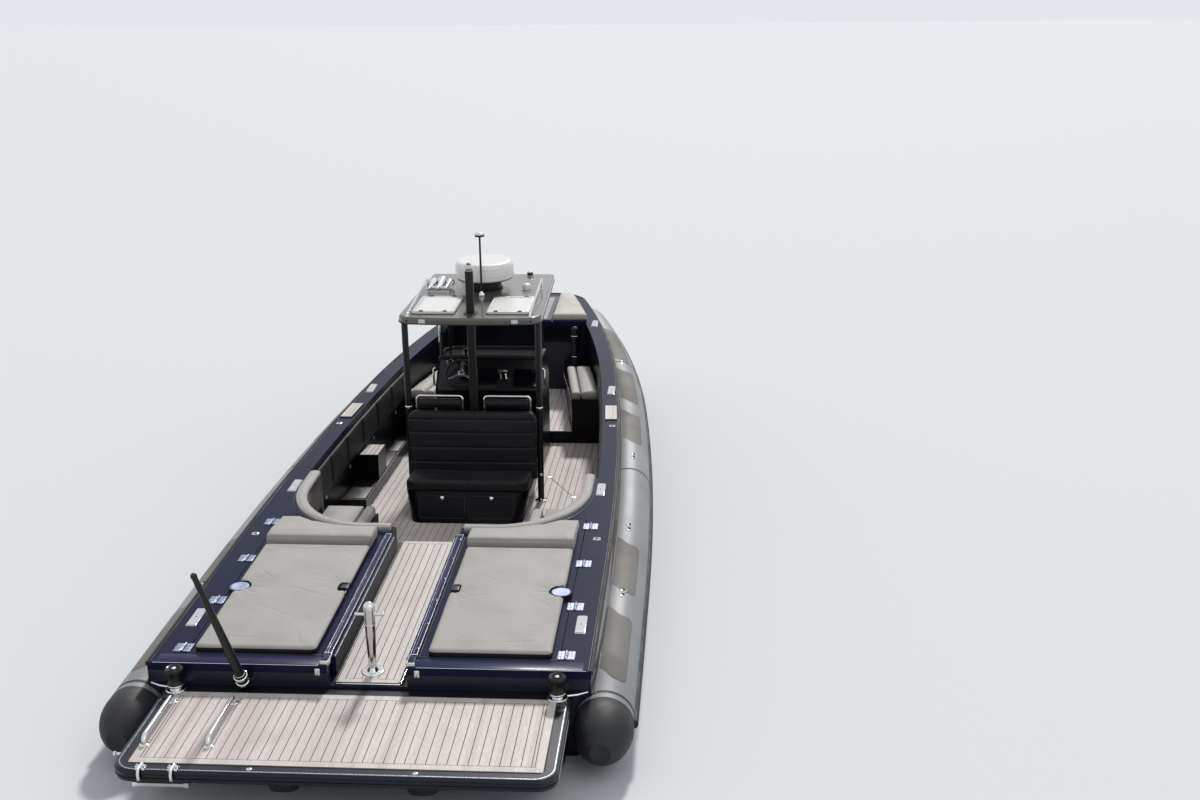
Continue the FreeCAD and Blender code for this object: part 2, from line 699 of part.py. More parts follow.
def sunpad():
    """Flat pad with a round cut-out outboard and a latch cut-out inboard."""
    pad = round_box(PAD_IN, PAD_OUT, PAD_AFT, PAD_FWD, 0, PAD_T, 40, 20)
    x, y, radius = PAD_CUP
    pad = pad.cut(cylinder(radius, PAD_T * 2, V(x, y, -10)))
    depth, y0, y1 = PAD_LATCH
    return on_deck(pad.cut(box(PAD_IN - 10, PAD_IN + depth, y0, y1, -10, PAD_T * 2)))


def bolster():
    """Raised headrest ahead of the sunpad, drawn out to a tip along the coaming."""
    y0 = PAD_FWD + BOLSTER_GAP
    low = PAD_T + 15
    points = [(y0, 0), (BOLSTER_TIP, 0), (BOLSTER_TIP, low), (y0 + 170, BOLSTER_H), (y0 + 36, BOLSTER_H),
              (y0 + 10, BOLSTER_H - 12), (y0, BOLSTER_H - 36)]
    wire = Part.makePolygon([V(PAD_IN, y, z) for y, z in points + points[:1]])
    body = Part.Face(wire).extrude(V(PAD_OUT - PAD_IN, 0, 0))
    return on_deck(body.cut(corner_area(*BOLSTER_CLEAR, BOLSTER_TIP * 2, -1, BOLSTER_H + 1)))


# Cockpit

STRIP_T = 46.0
STRIP_W = 100.0
STRIP_INSET = 5.0
STRIP_END_X = 330.0


def coaming_roll():
    """Padded strip on the coaming round the cockpit's aft corner, starboard."""
    y_to = CORNER_TO - 10
    outer = corner_area(STRIP_INSET + STRIP_W, STRIP_INSET + STRIP_W, y_to, 0, STRIP_T)
    strip = outer.cut(corner_area(STRIP_INSET, STRIP_INSET, y_to + 1, -1, STRIP_T + 1))
    strip = strip.common(box(STRIP_END_X, REACH, 0, REACH, -1, STRIP_T + 1))
    return on_deck(soften(strip, 14, at_top(strip)))


def sole_teak():
    """Level floor of the cockpit and the raised floor between the forward seats."""
    slab = box(-REACH, REACH, 0, FORWARD_SEAT_AFT, SOLE_Z - SOLE_T, SOLE_Z)
    main = cockpit_well(SOLE_Z - SOLE_T).common(slab).cut(companion_step())
    raised = footwell(FORWARD_SOLE_Z - SOLE_T, FORWARD_SOLE_Z)
    raised = raised.common(cockpit_well(SOLE_Z)).common(forward_block(0, REACH))
    return main, raised


CORNER_SEAT_IN = 775.0
CORNER_SEAT_Z = 480.0
CORNER_SEAT_FWD = 3990.0
CORNER_SPLIT = 900.0       # a narrow cushion lies inboard of this line
CUSHION_T = 90.0


def corner_seat():
    """Starboard seat box in the cockpit's aft corner."""
    body = box(CORNER_SEAT_IN, CORNER_X, COCKPIT_AFT - 60, CORNER_SEAT_FWD, SOLE_Z, CORNER_SEAT_Z)
    return body.common(cockpit_well(SOLE_Z))


def corner_cushions():
    """Main cushion, fitted to the curved corner, and the narrow one inboard of it."""
    fit = on_deck(corner_area(-12, -12, CORNER_SEAT_FWD * 2, -1500, 400))
    z0, z1 = CORNER_SEAT_Z, CORNER_SEAT_Z + CUSHION_T
    y1 = CORNER_SEAT_FWD - 10
    main = box(CORNER_SPLIT + 5, CORNER_X - 20, COCKPIT_AFT, y1, z0, z1).common(fit)
    inner = box(CORNER_SEAT_IN + 6, CORNER_SPLIT - 5, COCKPIT_AFT, y1, z0, z1).common(fit)
    inner = soften(inner, 60, lambda e: upright(e) and e.BoundBox.YMin > y1 - 1 and e.BoundBox.XMax
                   < CORNER_SPLIT - 20)
    return [soften(piece, 20, at_top(piece)) for piece in (main, inner)]


BULWARK_T = 32.0
BULWARK_AFT = CORNER_TO + 100
BULWARK_FWD = FORWARD_SEAT_AFT - 60


def bulwark_pad():
    return on_deck(plan_band(-GUNWALE - 0.01, -GUNWALE - BULWARK_T, BULWARK_AFT, BULWARK_FWD, -400, -80))


LOCKER_IN = 1120.0
LOCKER_AFT = 4950.0
LOCKER_FWD = 7400.0
LOCKER_Z = 300.0
STEP_BLOCK = (-1340.0, -1128.0, 5650.0, 6050.0, 580.0)     # x0, x1, y0, y1, top


def port_locker(pad):
    """Low locker along the port bulwark with a step block on it."""
    x0, x1, y0, y1, top = STEP_BLOCK
    body = box(-REACH, -LOCKER_IN, LOCKER_AFT, LOCKER_FWD, SOLE_Z, LOCKER_Z)
    body = body.fuse(box(x0 - 200, x1, y0, y1, LOCKER_Z - 1, top))
    return body.common(cockpit_well(SOLE_Z)).cut(mirrored(pad))


# Helm seats, mast and hardtop

MODULE_AFT = 4640.0        # foot of the module on the sole
MODULE_L = 1310.0
MODULE_FWD = MODULE_AFT + MODULE_L
MODULE_FOOT_X = 590.0
MODULE_X = 655.0
MODULE_R = 120.0
BENCH_AFT = MODULE_AFT + 110
BENCH_Z = 470.0
BENCH_T = 120.0
BACK_AFT = MODULE_AFT + 530        # aft face of the seat back at the bench
BACK_FWD = MODULE_AFT + 670
BACK_TOP = 1220.0
BACK_X = 700.0
HELM_Z = 870.0
HELM_CUSHION_T = 100.0


def side_extrusion(points, half_width):
    """A (y, z) outline drawn out equally to both sides of the centreline."""
    wire = Part.makePolygon([V(-half_width, y, z) for y, z in points + points[:1]])
    return Part.Face(wire).extrude(V(2 * half_width, 0, 0))


def seat_back():
    """Padded back of the aft bench, leaning forward a little, round corners at its top."""
    points = [(BACK_AFT, BENCH_Z), (BACK_FWD - 10, BENCH_Z), (BACK_FWD, BACK_TOP - 30),
              (BACK_FWD - 20, BACK_TOP), (BACK_FWD - 70, BACK_TOP), (BACK_FWD - 95, BACK_TOP - 30)]
    body = side_extrusion(points, BACK_X)
    mask = box(-BACK_X, BACK_X, BACK_AFT - 50, BACK_FWD + 50, BENCH_Z - 200, BACK_TOP)
    return body.common(soften(mask, 110, lambda e: at_top(mask)(e) and e.BoundBox.XMax - e.BoundBox.XMin < 1))


def rounded_outline(half, y0, y1, z, radius):
    """Closed wire: rectangle with round corners."""
    c = radius * (1 - math.sqrt(0.5))
    edges = []
    for sx, sy in ((1, -1), (1, 1), (-1, 1), (-1, -1)):
        x, y = sx * half, (y1 if sy > 0 else y0)
        along = V(x - sx * radius, y, z)
        beside = V(x, y - sy * radius, z)
        ends = (along, beside) if sx * sy < 0 else (beside, along)
        edges.append(Part.Arc(ends[0], V(x - sx * c, y - sy * c, z), ends[1]).toShape())
    joints = [Part.makeLine(a.Vertexes[-1].Point, b.Vertexes[0].Point)
              for a, b in zip(edges, edges[1:] + edges[:1])]
    wires = [edge for both in zip(edges, joints) for edge in both]
    return Part.Wire(wires)


def seat_module(column):
    """Flared pedestal carrying the aft bench, its back and the helm seat box."""
    foot = rounded_outline(MODULE_FOOT_X, MODULE_AFT, MODULE_FWD - 40, SOLE_Z, MODULE_R)
    rim = rounded_outline(MODULE_X, BENCH_AFT - 8, MODULE_FWD, BENCH_Z, MODULE_R)
    body = Part.makeLoft([foot, rim], True, True)
    helm = round_box(-MODULE_X, MODULE_X, BACK_AFT + 60, MODULE_FWD, BENCH_Z, HELM_Z, 40)
    return body.fuse(helm.cut(seat_back())).removeSplitter().cut(column)


def bench_cushion():
    body = box(-MODULE_X, MODULE_X, BENCH_AFT - 20, BACK_AFT - 4, BENCH_Z, BENCH_Z + BENCH_T)
    body = soften(body, 100, lambda e: upright(e) and e.BoundBox.YMax < BENCH_AFT)
    return soften(body, 30, at_top(body))


HELM_SEAT_IN = 104.0
HELM_SEAT_OUT = 626.0
FRAME_Y = BACK_FWD + 62
FRAME_R = 14.0
FRAME_TOP = 1340.0
ROLL_SEAT_R = 55.0
ROLL_SEAT_Z = 1262.0


def helm_seat():
    """Starboard helm seat: cushion and the lumbar roll held between the frame's posts."""
    cushion = round_box(HELM_SEAT_IN, HELM_SEAT_OUT, FRAME_Y + FRAME_R + 8, MODULE_FWD - 10,
                        HELM_Z, HELM_Z + HELM_CUSHION_T, 45, 26)
    x0 = HELM_SEAT_IN + 2 * FRAME_R + SEAT_GAP
    x1 = HELM_SEAT_OUT - 2 * FRAME_R - SEAT_GAP
    roll = cylinder(ROLL_SEAT_R, x1 - x0, V(x0, FRAME_Y, ROLL_SEAT_Z), V(1, 0, 0))
    return cushion, soften(roll, 22, lambda e: len(e.Vertexes) == 1)


def seat_frame():
    """Chrome hoop from the helm seat box up round the lumbar roll's ends."""
    x0, x1 = HELM_SEAT_IN + FRAME_R, HELM_SEAT_OUT - FRAME_R
    points = [(x0, FRAME_Y, HELM_Z), (x0, FRAME_Y, FRAME_TOP), (x1, FRAME_Y, FRAME_TOP), (x1, FRAME_Y, HELM_Z)]
    return ring_pipe(points, FRAME_R, 40)


MAST_Y = FRAME_Y + 75      # on the helm seat box, in the deck frame
MAST_HALF = (42.0, 30.0)
MAST_TOP = 1700.0          # above the deck surface


def mast(grow=0.0):
    """Square post through the hardtop with an all-round light, square to the deck."""
    hx, hy = MAST_HALF[0] + grow, MAST_HALF[1] + grow
    post = round_box(-hx, hx, MAST_Y - hy, MAST_Y + hy, -600, MAST_TOP, 14)
    cup = cylinder(34, 24, V(0, MAST_Y, MAST_TOP))
    lens = cylinder(25, 62, V(0, MAST_Y, MAST_TOP + 24))
    body = on_deck(post if grow else post.fuse(cup).fuse(soften(lens, 12, at_top(lens))))
    return body.cut(box(-REACH, REACH, 0, REACH, -REACH, HELM_Z))


LEG_R = 34.0
LEG_FOOT = (704.0, MODULE_AFT + 790)
LEG_HEAD = (712.0, 5440.0)


def hardtop_leg():
    """Aft leg from the cockpit sole to the hardtop's corner, starboard."""
    head = deck_point(LEG_HEAD[0], LEG_HEAD[1], ROOF_TOP - ROOF_T)
    foot = V(LEG_FOOT[0], LEG_FOOT[1], SOLE_Z)
    axis = head - foot
    unit = V(axis).normalize()
    leg = cylinder(LEG_R, axis.Length + 60, foot - unit * 20, axis)
    plate = cylinder(LEG_R + 30, 14, foot)
    level = box(-REACH, REACH, 0, REACH, -REACH, SOLE_Z)
    ceiling = on_deck(box(-REACH, REACH, 0, REACH, ROOF_TOP - ROOF_T, REACH))
    return leg.fuse(plate).cut(level).cut(ceiling)


ROOF_HATCH_IN = 170.0
ROOF_HATCH_OUT = 625.0
ROOF_HATCH_AFT = 5400.0
ROOF_HATCH_FWD = 6080.0
ROOF_LIP = 30.0
ROOF_HATCH_T = 22.0


def hardtop(column):
    """Roof slab: bowed aft edge, round corners, two hatch openings."""
    low, high = ROOF_TOP - ROOF_T, ROOF_TOP
    a, b = V(-ROOF_X_AFT, ROOF_AFT + ROOF_BOW, low), V(ROOF_X_AFT, ROOF_AFT + ROOF_BOW, low)
    c, d = V(ROOF_X_FWD, ROOF_FWD, low), V(-ROOF_X_FWD, ROOF_FWD, low)
    edges = [Part.Arc(a, V(0, ROOF_AFT, low), b).toShape(), Part.makeLine(b, c), Part.makeLine(c, d),
             Part.makeLine(d, a)]
    body = Part.Face(Part.Wire(edges)).extrude(V(0, 0, high - low))
    middle = (ROOF_AFT + ROOF_FWD) / 2
    body = soften(body, ROOF_R_AFT, lambda e: upright(e) and e.BoundBox.YMax < middle)
    body = soften(body, ROOF_R_FWD, lambda e: upright(e) and e.BoundBox.YMin > middle)
    body = soften(body, 30, at_top(body))
    for side in (1, -1):
        x0, x1 = sorted((side * (ROOF_HATCH_IN + ROOF_LIP), side * (ROOF_HATCH_OUT - ROOF_LIP)))
        body = body.cut(box(x0, x1, ROOF_HATCH_AFT + ROOF_LIP, ROOF_HATCH_FWD - ROOF_LIP, 0, REACH))
    return on_deck(body).cut(column)


def roof_hatch():
    """Starboard skylight lid, hinged along its forward edge."""
    z = ROOF_TOP + SEAT_GAP
    lid = round_box(ROOF_HATCH_IN, ROOF_HATCH_OUT, ROOF_HATCH_AFT, ROOF_HATCH_FWD, z, z + ROOF_HATCH_T, 30, 8)
    return on_deck(lid)


ROOF_RAIL_X = 646.0
ROOF_RAIL_R = 12.0
ROOF_RAIL_AFT = (5300.0, 26.0)     # station and height above the hardtop
ROOF_RAIL_FWD = (6500.0, 120.0)


def roof_rail():
    """Long straight rail that rises forward, with a leg at each end."""
    x, z = ROOF_RAIL_X, ROOF_TOP
    (y0, low), (y1, high) = ROOF_RAIL_AFT, ROOF_RAIL_FWD
    points = [(x, y0, z), (x, y0, z + low), (x, y1, z + high), (x, y1, z)]
    return on_deck(ring_pipe(points, ROOF_RAIL_R, 20))


RADAR_R = 328.0
RADAR_H = 200.0
RADAR_Y = 6560.0
RADAR_PLINTH = 125.0


def radar_dome():
    """Closed radome on a pedestal, no marks."""
    plinth = cylinder(RADAR_R * 0.55, RADAR_PLINTH + 10, V(0, RADAR_Y, ROOF_TOP))
    dome = cylinder(RADAR_R, RADAR_H, V(0, RADAR_Y, ROOF_TOP + RADAR_PLINTH))
    dome = soften(dome, 56, at_top(dome))
    low = dome.BoundBox.ZMin
    dome = soften(dome, 30, lambda e: e.BoundBox.ZMax < low + 1)
    return on_deck(plinth.fuse(dome))


ANTENNA = (15.0, 6175.0, 670.0)   # x, y, height of the pole


def antenna():
    """Thin pole with a satellite receiver, ahead of the roof hatches."""
    x, y, height = ANTENNA
    base = V(x, y, ROOF_TOP)
    foot = cylinder(30, 18, base)
    pole = cylinder(10, height, base)
    head = cylinder(52, 40, base + V(0, 0, height))
    return on_deck(foot.fuse(pole).fuse(soften(head, 16, at_top(head))))


HORNS = [(-585.0, 42.0, 300.0), (-490.0, 52.0, 340.0), (-395.0, 42.0, 260.0)]    # x, mouth radius, length
HORN_Y = 6290.0
HORN_RISE = 62.0           # horn axis above the hardtop
SEARCHLIGHT = (-270.0, 6990.0)
SMALL_DOMES = [(476.0, 6510.0, 50.0, 66.0), (440.0, 7160.0, 36.0, 46.0)]         # x, y, radius, height


def horns():
    """Three trumpet horns side by side on one base, mouths forward."""
    z = ROOF_TOP
    x0, x1 = HORNS[0][0] - 20, HORNS[-1][0] + 20
    body = box(x0, x1, HORN_Y, HORN_Y + 60, z, z + 18)
    body = body.fuse(box(x0, x1, HORN_Y + 8, HORN_Y + 44, z + 10, z + HORN_RISE + 10))
    for x, mouth, length in HORNS:
        body = body.fuse(Part.makeCone(12, mouth, length, V(x, HORN_Y + 4, z + HORN_RISE), V(0, 1, 0)))
    return on_deck(body)


def searchlight():
    x, y = SEARCHLIGHT
    stand = cylinder(16, 50, V(x, y, ROOF_TOP))
    return on_deck(stand.fuse(cylinder(56, 105, V(x, y - 40, ROOF_TOP + 88), V(0, 1, 0))))


def small_dome(x, y, radius, height):
    dome = cylinder(radius, height, V(x, y, ROOF_TOP))
    return on_deck(soften(dome, radius * 0.75, at_top(dome)))


# Console

CONSOLE_X = 600.0
CONSOLE_TOP = 1450.0
CONSOLE_AFT = MODULE_FWD + 560
CONSOLE_FWD = CONSOLE_AFT + 1010
DASH_LOW = (CONSOLE_AFT - 110, 1120.0)
DASH_HIGH = (CONSOLE_AFT + 170, CONSOLE_TOP)


def console():
    """Helm console: sloped dash facing aft, raked front facing the bow seats."""
    points = [
        (CONSOLE_AFT, SOLE_Z), (CONSOLE_AFT - 40, DASH_LOW[1] - 180), DASH_LOW, DASH_HIGH,
        (CONSOLE_FWD - 300, CONSOLE_TOP), (CONSOLE_FWD - 50, CONSOLE_TOP - 320), (CONSOLE_FWD, SOLE_Z),
    ]
    body = side_extrusion(points, CONSOLE_X)
    return soften(body, 60, lambda e: abs(e.BoundBox.XMin) > CONSOLE_X - 1 and e.BoundBox.YMin
                  > CONSOLE_FWD - 320)


GLASS_T = 8.0


def screen_outline(y_aft, y_fwd, half, z, corner):
    """U of lines and arcs open to aft, drawn as a closed strip of glass."""
    def u_line(inset):
        x, y, r = half - inset, y_fwd - inset, corner - inset
        k = r * (1 - math.sqrt(0.5))
        return [
            Part.makeLine(V(x, y_aft, z), V(x, y - r, z)),
            Part.Arc(V(x, y - r, z), V(x - k, y - k, z), V(x - r, y, z)).toShape(),
            Part.makeLine(V(x - r, y, z), V(r - x, y, z)),
            Part.Arc(V(r - x, y, z), V(k - x, y - k, z), V(-x, y - r, z)).toShape(),
            Part.makeLine(V(-x, y - r, z), V(-x, y_aft, z)),
        ]
    outer, inner = u_line(0.0), u_line(GLASS_T)
    ends = [
        Part.makeLine(V(-half, y_aft, z), V(GLASS_T - half, y_aft, z)),
        Part.makeLine(V(half - GLASS_T, y_aft, z), V(half, y_aft, z)),
    ]
    edges = outer + [ends[0]] + [Part.makeLine(e.Vertexes[1].Point, e.Vertexes[0].Point) if i in (0, 2, 4) else e
                                 for i, e in reversed(list(enumerate(inner)))] + [ends[1]]
    return Part.Wire(Part.__sortEdges__(edges))


SCREEN_AFT = CONSOLE_AFT + 260
SCREEN_LOW = CONSOLE_FWD - 330
SCREEN_HIGH = CONSOLE_FWD - 530


def windscreen():
    """Raked glass round the console's top, up to the hardtop."""
    half = CONSOLE_X - 20
    low = screen_outline(SCREEN_AFT, SCREEN_LOW, half, CONSOLE_TOP, 160)
    high = screen_outline(SCREEN_AFT, SCREEN_HIGH, half, CONSOLE_TOP + 1050, 160)
    glass = Part.makeLoft([low, high], True, True)
    return glass.cut(on_deck(box(-REACH, REACH, 0, REACH, ROOF_TOP - ROOF_T, REACH)))


WHEEL_X = -300.0
WHEEL_R = 178.0
WHEEL_TILT = 48.0
WHEEL_OFF = 95.0
WHEEL_HUB = 17.0


def wheel_frame():
    """Base point on the dash and the column's direction, aft and up."""
    middle = V(WHEEL_X, (DASH_LOW[0] + DASH_HIGH[0]) / 2 - 30, (DASH_LOW[1] + DASH_HIGH[1]) / 2 - 32)
    tilt = math.radians(WHEEL_TILT)
    return middle, V(0, -math.cos(tilt), math.sin(tilt))


def steering_column():
    base, axis = wheel_frame()
    root = 60
    return cylinder(26, root + WHEEL_OFF - WHEEL_HUB - SEAT_GAP, base - axis * root, axis)


def steering_wheel():
    base, axis = wheel_frame()
    hub_at = base + axis * WHEEL_OFF
    rim = Part.makeTorus(WHEEL_R, 15)
    hub = cylinder(38, WHEEL_HUB * 2, V(0, 0, -WHEEL_HUB))
    wheel = rim.fuse(hub)
    for turn in (90, 210, 330):
        spoke = box(30, WHEEL_R - 6, -13, 13, -5, 5)
        spoke.rotate(V(0, 0, 0), V(0, 0, 1), turn)
        wheel = wheel.fuse(spoke)
    wheel.Placement = FreeCAD.Placement(hub_at, FreeCAD.Rotation(V(0, 0, 1), axis))
    return wheel


def throttle(desk):
    """Twin-lever engine control on the dash."""
    base, axis = wheel_frame()
    base = V(180, base.y, base.z)
    body = round_box(-60, 60, -45, 45, -20, 55, 20)
    levers = [box(x - 8, x + 8, -8, 8, 40, 150).fuse(cylinder(15, 52, V(x - 26, 0, 150), V(1, 0, 0)))
              for x in (-30, 30)]
    for lever in levers:
        body = body.fuse(lever)
    body.Placement = FreeCAD.Placement(base, FreeCAD.Rotation(V(0, 0, 1), axis))
    return body.cut(desk)


# Forward cockpit and foredeck

FORWARD_CUSHION_T = 100.0
FORWARD_CUSHION_L = 1400.0
FORWARD_ROLL_W = 115.0


def forward_cushions():
    """Starboard forward seat: a narrow front roll along the footwell and the main pad."""
    z0, z1 = FORWARD_SHELF_Z, FORWARD_SHELF_Z + FORWARD_CUSHION_T
    area = on_deck(plan_slab(-GUNWALE - 18, FORWARD_SEAT_AFT, COCKPIT_FWD, -1500, 400))
    y0, y1 = FORWARD_SEAT_AFT + 16, FORWARD_SEAT_AFT + FORWARD_CUSHION_L
    seat = box(1, REACH, y0, y1, z0, z1).common(area)

    def beyond(shift):
        wedge = footwell(z0 - 1, z1 + 1)
        return wedge.translated(V(shift, 0, 0)).fuse(wedge)

    front = seat.cut(beyond(8)).common(beyond(FORWARD_ROLL_W))
    main = seat.cut(beyond(FORWARD_ROLL_W + 8))
    return [soften(piece, 22, at_top(piece)) for piece in (front, main)]


FOREDECK_AFT = COCKPIT_FWD + 30
PANEL_X = 400.0
PANEL_FWD = FOREDECK_AFT + 1290
FOREDECK_PAD_T = 92.0


def foredeck_panel():
    return on_deck(box(-PANEL_X, PANEL_X, FOREDECK_AFT, PANEL_FWD, 0, TEAK_T))


def foredeck_cushion():
    """Starboard cushion beside the panel, narrowing with the bow."""
    area = plan_slab(-GUNWALE + 40, FOREDECK_AFT + 10, PANEL_FWD - 60, 0, FOREDECK_PAD_T)
    body = area.common(box(PANEL_X + 14, REACH, FOREDECK_AFT, PANEL_FWD, -1, FOREDECK_PAD_T + 1))
    return on_deck(body)


# Deck fittings

# station y, distance inboard of the plan line
CLEATS = [(745.0, 262.0), (3590.0, 280.0), (6690.0, 205.0), (9590.0, 205.0)]
LATCHES = [(2410.0, 255.0), (5440.0, 205.0)]
CLEAT_SIZE = (70.0, 290.0, 9.0)    # across, along, height
CLEAT_BUTTON_R = 8.0
LATCH_SIZE = 64.0


def cleat(y, inboard):
    """Pop-up cleat, folded flush, with the hole of its push button."""
    x = plan_x(y) - inboard
    wide, long, high = CLEAT_SIZE
    bar = round_box(x - wide / 2, x + wide / 2, y - long / 2, y + long / 2, 0, high, wide * 0.14)
    return on_deck(bar.cut(cylinder(CLEAT_BUTTON_R, high, V(x, y, high / 2))))


def latch(y, inboard):
    x, half = plan_x(y) - inboard, LATCH_SIZE / 2
    return on_deck(round_box(x - half, x + half, y - half, y + half, 0, 5, 8))


GUNWALE_STEP = (5640.0, 6110.0, 152.0, 282.0)      # y0, y1, outer and inner distance inboard
GUNWALE_STEP_T = 9.0


def gunwale_step():
    y0, y1, outer, inner = GUNWALE_STEP
    return on_deck(plan_band(-outer, -inner, y0, y1, 0, GUNWALE_STEP_T))


# Engines and stern drives

def drive_shield():
    """Transom plate and gimbal housing that the drive leg swings on."""
    plate = box(DRIVE_X - 190, DRIVE_X + 190, -34, 0, -330, 190)
    plate = soften(plate, 60, lambda e: abs(e.BoundBox.YMax - e.BoundBox.YMin) > 30 and e.BoundBox.XMax
                   - e.BoundBox.XMin < 1)
    housing = box(DRIVE_X - 120, DRIVE_X + 120, -90, -30, -200, 120)
    ears = [cylinder(46, 42, V(DRIVE_X, STEER_Y, z)).fuse(
        box(DRIVE_X - 46, DRIVE_X + 46, STEER_Y, -60, z, z + 42)) for z in (-196, 76)]
    shield = plate.fuse(housing)
    for ear in ears:
        shield = shield.fuse(ear)
    pin = cylinder(16, 300, V(DRIVE_X, STEER_Y, -190))
    return shield.fuse(pin)


def drive_leg():
    """Swinging leg: yoke, upper gearcase, plate, strut, torpedo and skeg."""
    yoke = cylinder(46, 218, V(DRIVE_X, STEER_Y, -148 + 3))
    yoke = yoke.fuse(box(DRIVE_X - 40, DRIVE_X + 40, -330, STEER_Y, -135, 60))
    top = round_box(DRIVE_X - 105, DRIVE_X + 105, -640, -265, -180, 150, 70, 30)
    strut_low = Part.makePolygon([V(x + DRIVE_X, y, SHAFT_Z) for x, y in (
        (0, -330), (34, -420), (30, -640), (0, -720), (-30, -640), (-34, -420), (0, -330))])
    strut_high = Part.makePolygon([V(x + DRIVE_X, y, -170) for x, y in (
        (0, -280), (70, -360), (62, -600), (0, -680), (-62, -600), (-70, -360), (0, -280))])
    strut = Part.makeLoft([strut_low, strut_high], True, True)
    plate_points = [(0, -300), (90, -380), (110, -560), (120, -860), (70, -930), (-70, -930), (-120, -860),
                    (-110, -560), (-90, -380)]
    plate = Part.Face(Part.makePolygon([V(x + DRIVE_X, y, -412) for x, y in plate_points + plate_points[:1]]))
    plate = plate.extrude(V(0, 0, 16))
    r = 62.0
    nose = Part.makeCone(14, r, 150, V(DRIVE_X, -290, SHAFT_Z), V(0, -1, 0))
    torpedo = cylinder(r, 330, V(DRIVE_X, -440, SHAFT_Z), V(0, -1, 0))
    skeg_points = [(-420, SHAFT_Z - 40), (-560, SHAFT_Z - 250), (-690, SHAFT_Z - 265), (-740, SHAFT_Z - 40)]
    skeg = Part.Face(Part.makePolygon([V(DRIVE_X - 9, y, z) for y, z in skeg_points + skeg_points[:1]]))
    skeg = skeg.extrude(V(18, 0, 0))
    shaft = cylinder(20, 190, V(DRIVE_X, -765, SHAFT_Z), V(0, -1, 0))
    leg = yoke
    for piece in (top, strut, plate, nose, torpedo, skeg, shaft):
        leg = leg.fuse(piece)
    bore = cylinder(16.5, 400, V(DRIVE_X, STEER_Y, -240))
    return leg.cut(bore)


BLADES = 4


def blade():
    """One propeller blade lofted through twisted sections, hub axis along y."""
    pitch = 420.0
    # radius, chord, thickness, skew along the rotation
    sections = [(48.0, 110.0, 16.0, 0.0), (105.0, 170.0, 11.0, 6.0), (160.0, 165.0, 7.0, 20.0),
                (PROP_R, 70.0, 3.0, 46.0)]
    wires = []
    for radius, chord, thick, skew in sections:
        angle = math.atan2(pitch, 2 * math.pi * radius)
        u = V(math.cos(angle), math.sin(angle), 0)
        n = V(-math.sin(angle), math.cos(angle), 0)
        middle = V(skew, 0, radius)
        a, b = middle - u * (chord / 2), middle + u * (chord / 2)
        front = Part.Arc(a, middle + n * (thick / 2), b).toShape()
        back = Part.Arc(b, middle - n * (thick / 2), a).toShape()
        wires.append(Part.Wire([front, back]))
    return Part.makeLoft(wires, True, False)


def propeller():
    hub = cylinder(55, 115, V(0, 55, 0), V(0, -1, 0))
    nose = Part.makeCone(55, 40, 25, V(0, -60, 0), V(0, -1, 0))
    body = hub.fuse(nose)
    for index in range(BLADES):
        one = blade()
        one.rotate(V(0, 0, 0), V(0, 1, 0), 360.0 * index / BLADES)
        body = body.fuse(one)
    body = body.cut(cylinder(20.5, 200, V(0, 100, 0), V(0, -1, 0)))
    body.translate(V(DRIVE_X, PROP_Y, SHAFT_Z))
    return body


os.makedirs("parts", exist_ok=True)

starboard_tube = tube_half()
tubes = pair(starboard_tube)
hull_lengths, topside, bow_seat = make_hull(tubes)
for place, length in zip(("aft", "middle", "forward"), hull_lengths):
    save(f"hull_{place}", length)
save("topsides", *pair(topside))
save("bow_seats", *pair(bow_seat))
deck_aft, side_deck, foredeck = make_deck(tubes)
save("deck_aft", deck_aft)
save("side_decks", *pair(side_deck))
save("foredeck", foredeck)
save("tube_starboard", starboard_tube)
save("tube_port", mirrored(starboard_tube))
save("tube_ends", *pair(tube_end()))
save("rub_strakes", *pair(rub_strake(starboard_tube)))

save("platform_frame", platform_frame())
save("platform_teak", platform_teak())
save("platform_brackets", *pair(platform_bracket()))
save("platform_rails", *platform_rails())
save("boarding_ladder", boarding_ladder())
save("capstan_feet", *pair(capstan_foot()))
save("capstan_starboard", capstan_drum())
save("capstan_port", mirrored(capstan_drum()))
save("flagstaff", flagstaff())
save("ski_pole", ski_pole())

save("walkway_teak", walkway_teak())
save("hatch_starboard", hatch_lid())
save("hatch_port", mirrored(hatch_lid()))
save("sunpad_starboard", sunpad(), bolster())
save("sunpad_port", mirrored(sunpad()), mirrored(bolster()))
save("engines", *pair(engine()))

save("sole_teak", *sole_teak())
save("coaming_rolls", *pair(coaming_roll()))
save("corner_seats", *pair(corner_seat()))
corner = corner_cushions()
save("corner_cushions", *corner, *[mirrored(piece) for piece in corner])
pad = bulwark_pad()
save("bulwark_pads", *pair(pad))
save("port_locker", port_locker(pad))

column = mast(grow=SEAT_GAP)
save("seat_module", seat_module(column))
save("seat_back", seat_back())
save("bench_cushion", bench_cushion())
cushion, roll = helm_seat()
save("helm_seats", *pair(cushion), *pair(roll))
save("seat_frames", *pair(seat_frame()))
save("mast", mast())
save("hardtop_legs", *pair(hardtop_leg()))
save("hardtop", hardtop(column))
save("roof_hatch_starboard", roof_hatch())
save("roof_hatch_port", mirrored(roof_hatch()))
save("radar_dome", radar_dome())
small_domes = [small_dome(*row) for row in SMALL_DOMES]
save("roof_fittings", antenna(), horns(), searchlight(), *small_domes, *pair(roof_rail()))

desk = console().fuse(steering_column())
save("console", desk)
save("windscreen", windscreen())
save("steering_wheel", steering_wheel())
save("throttle", throttle(desk))

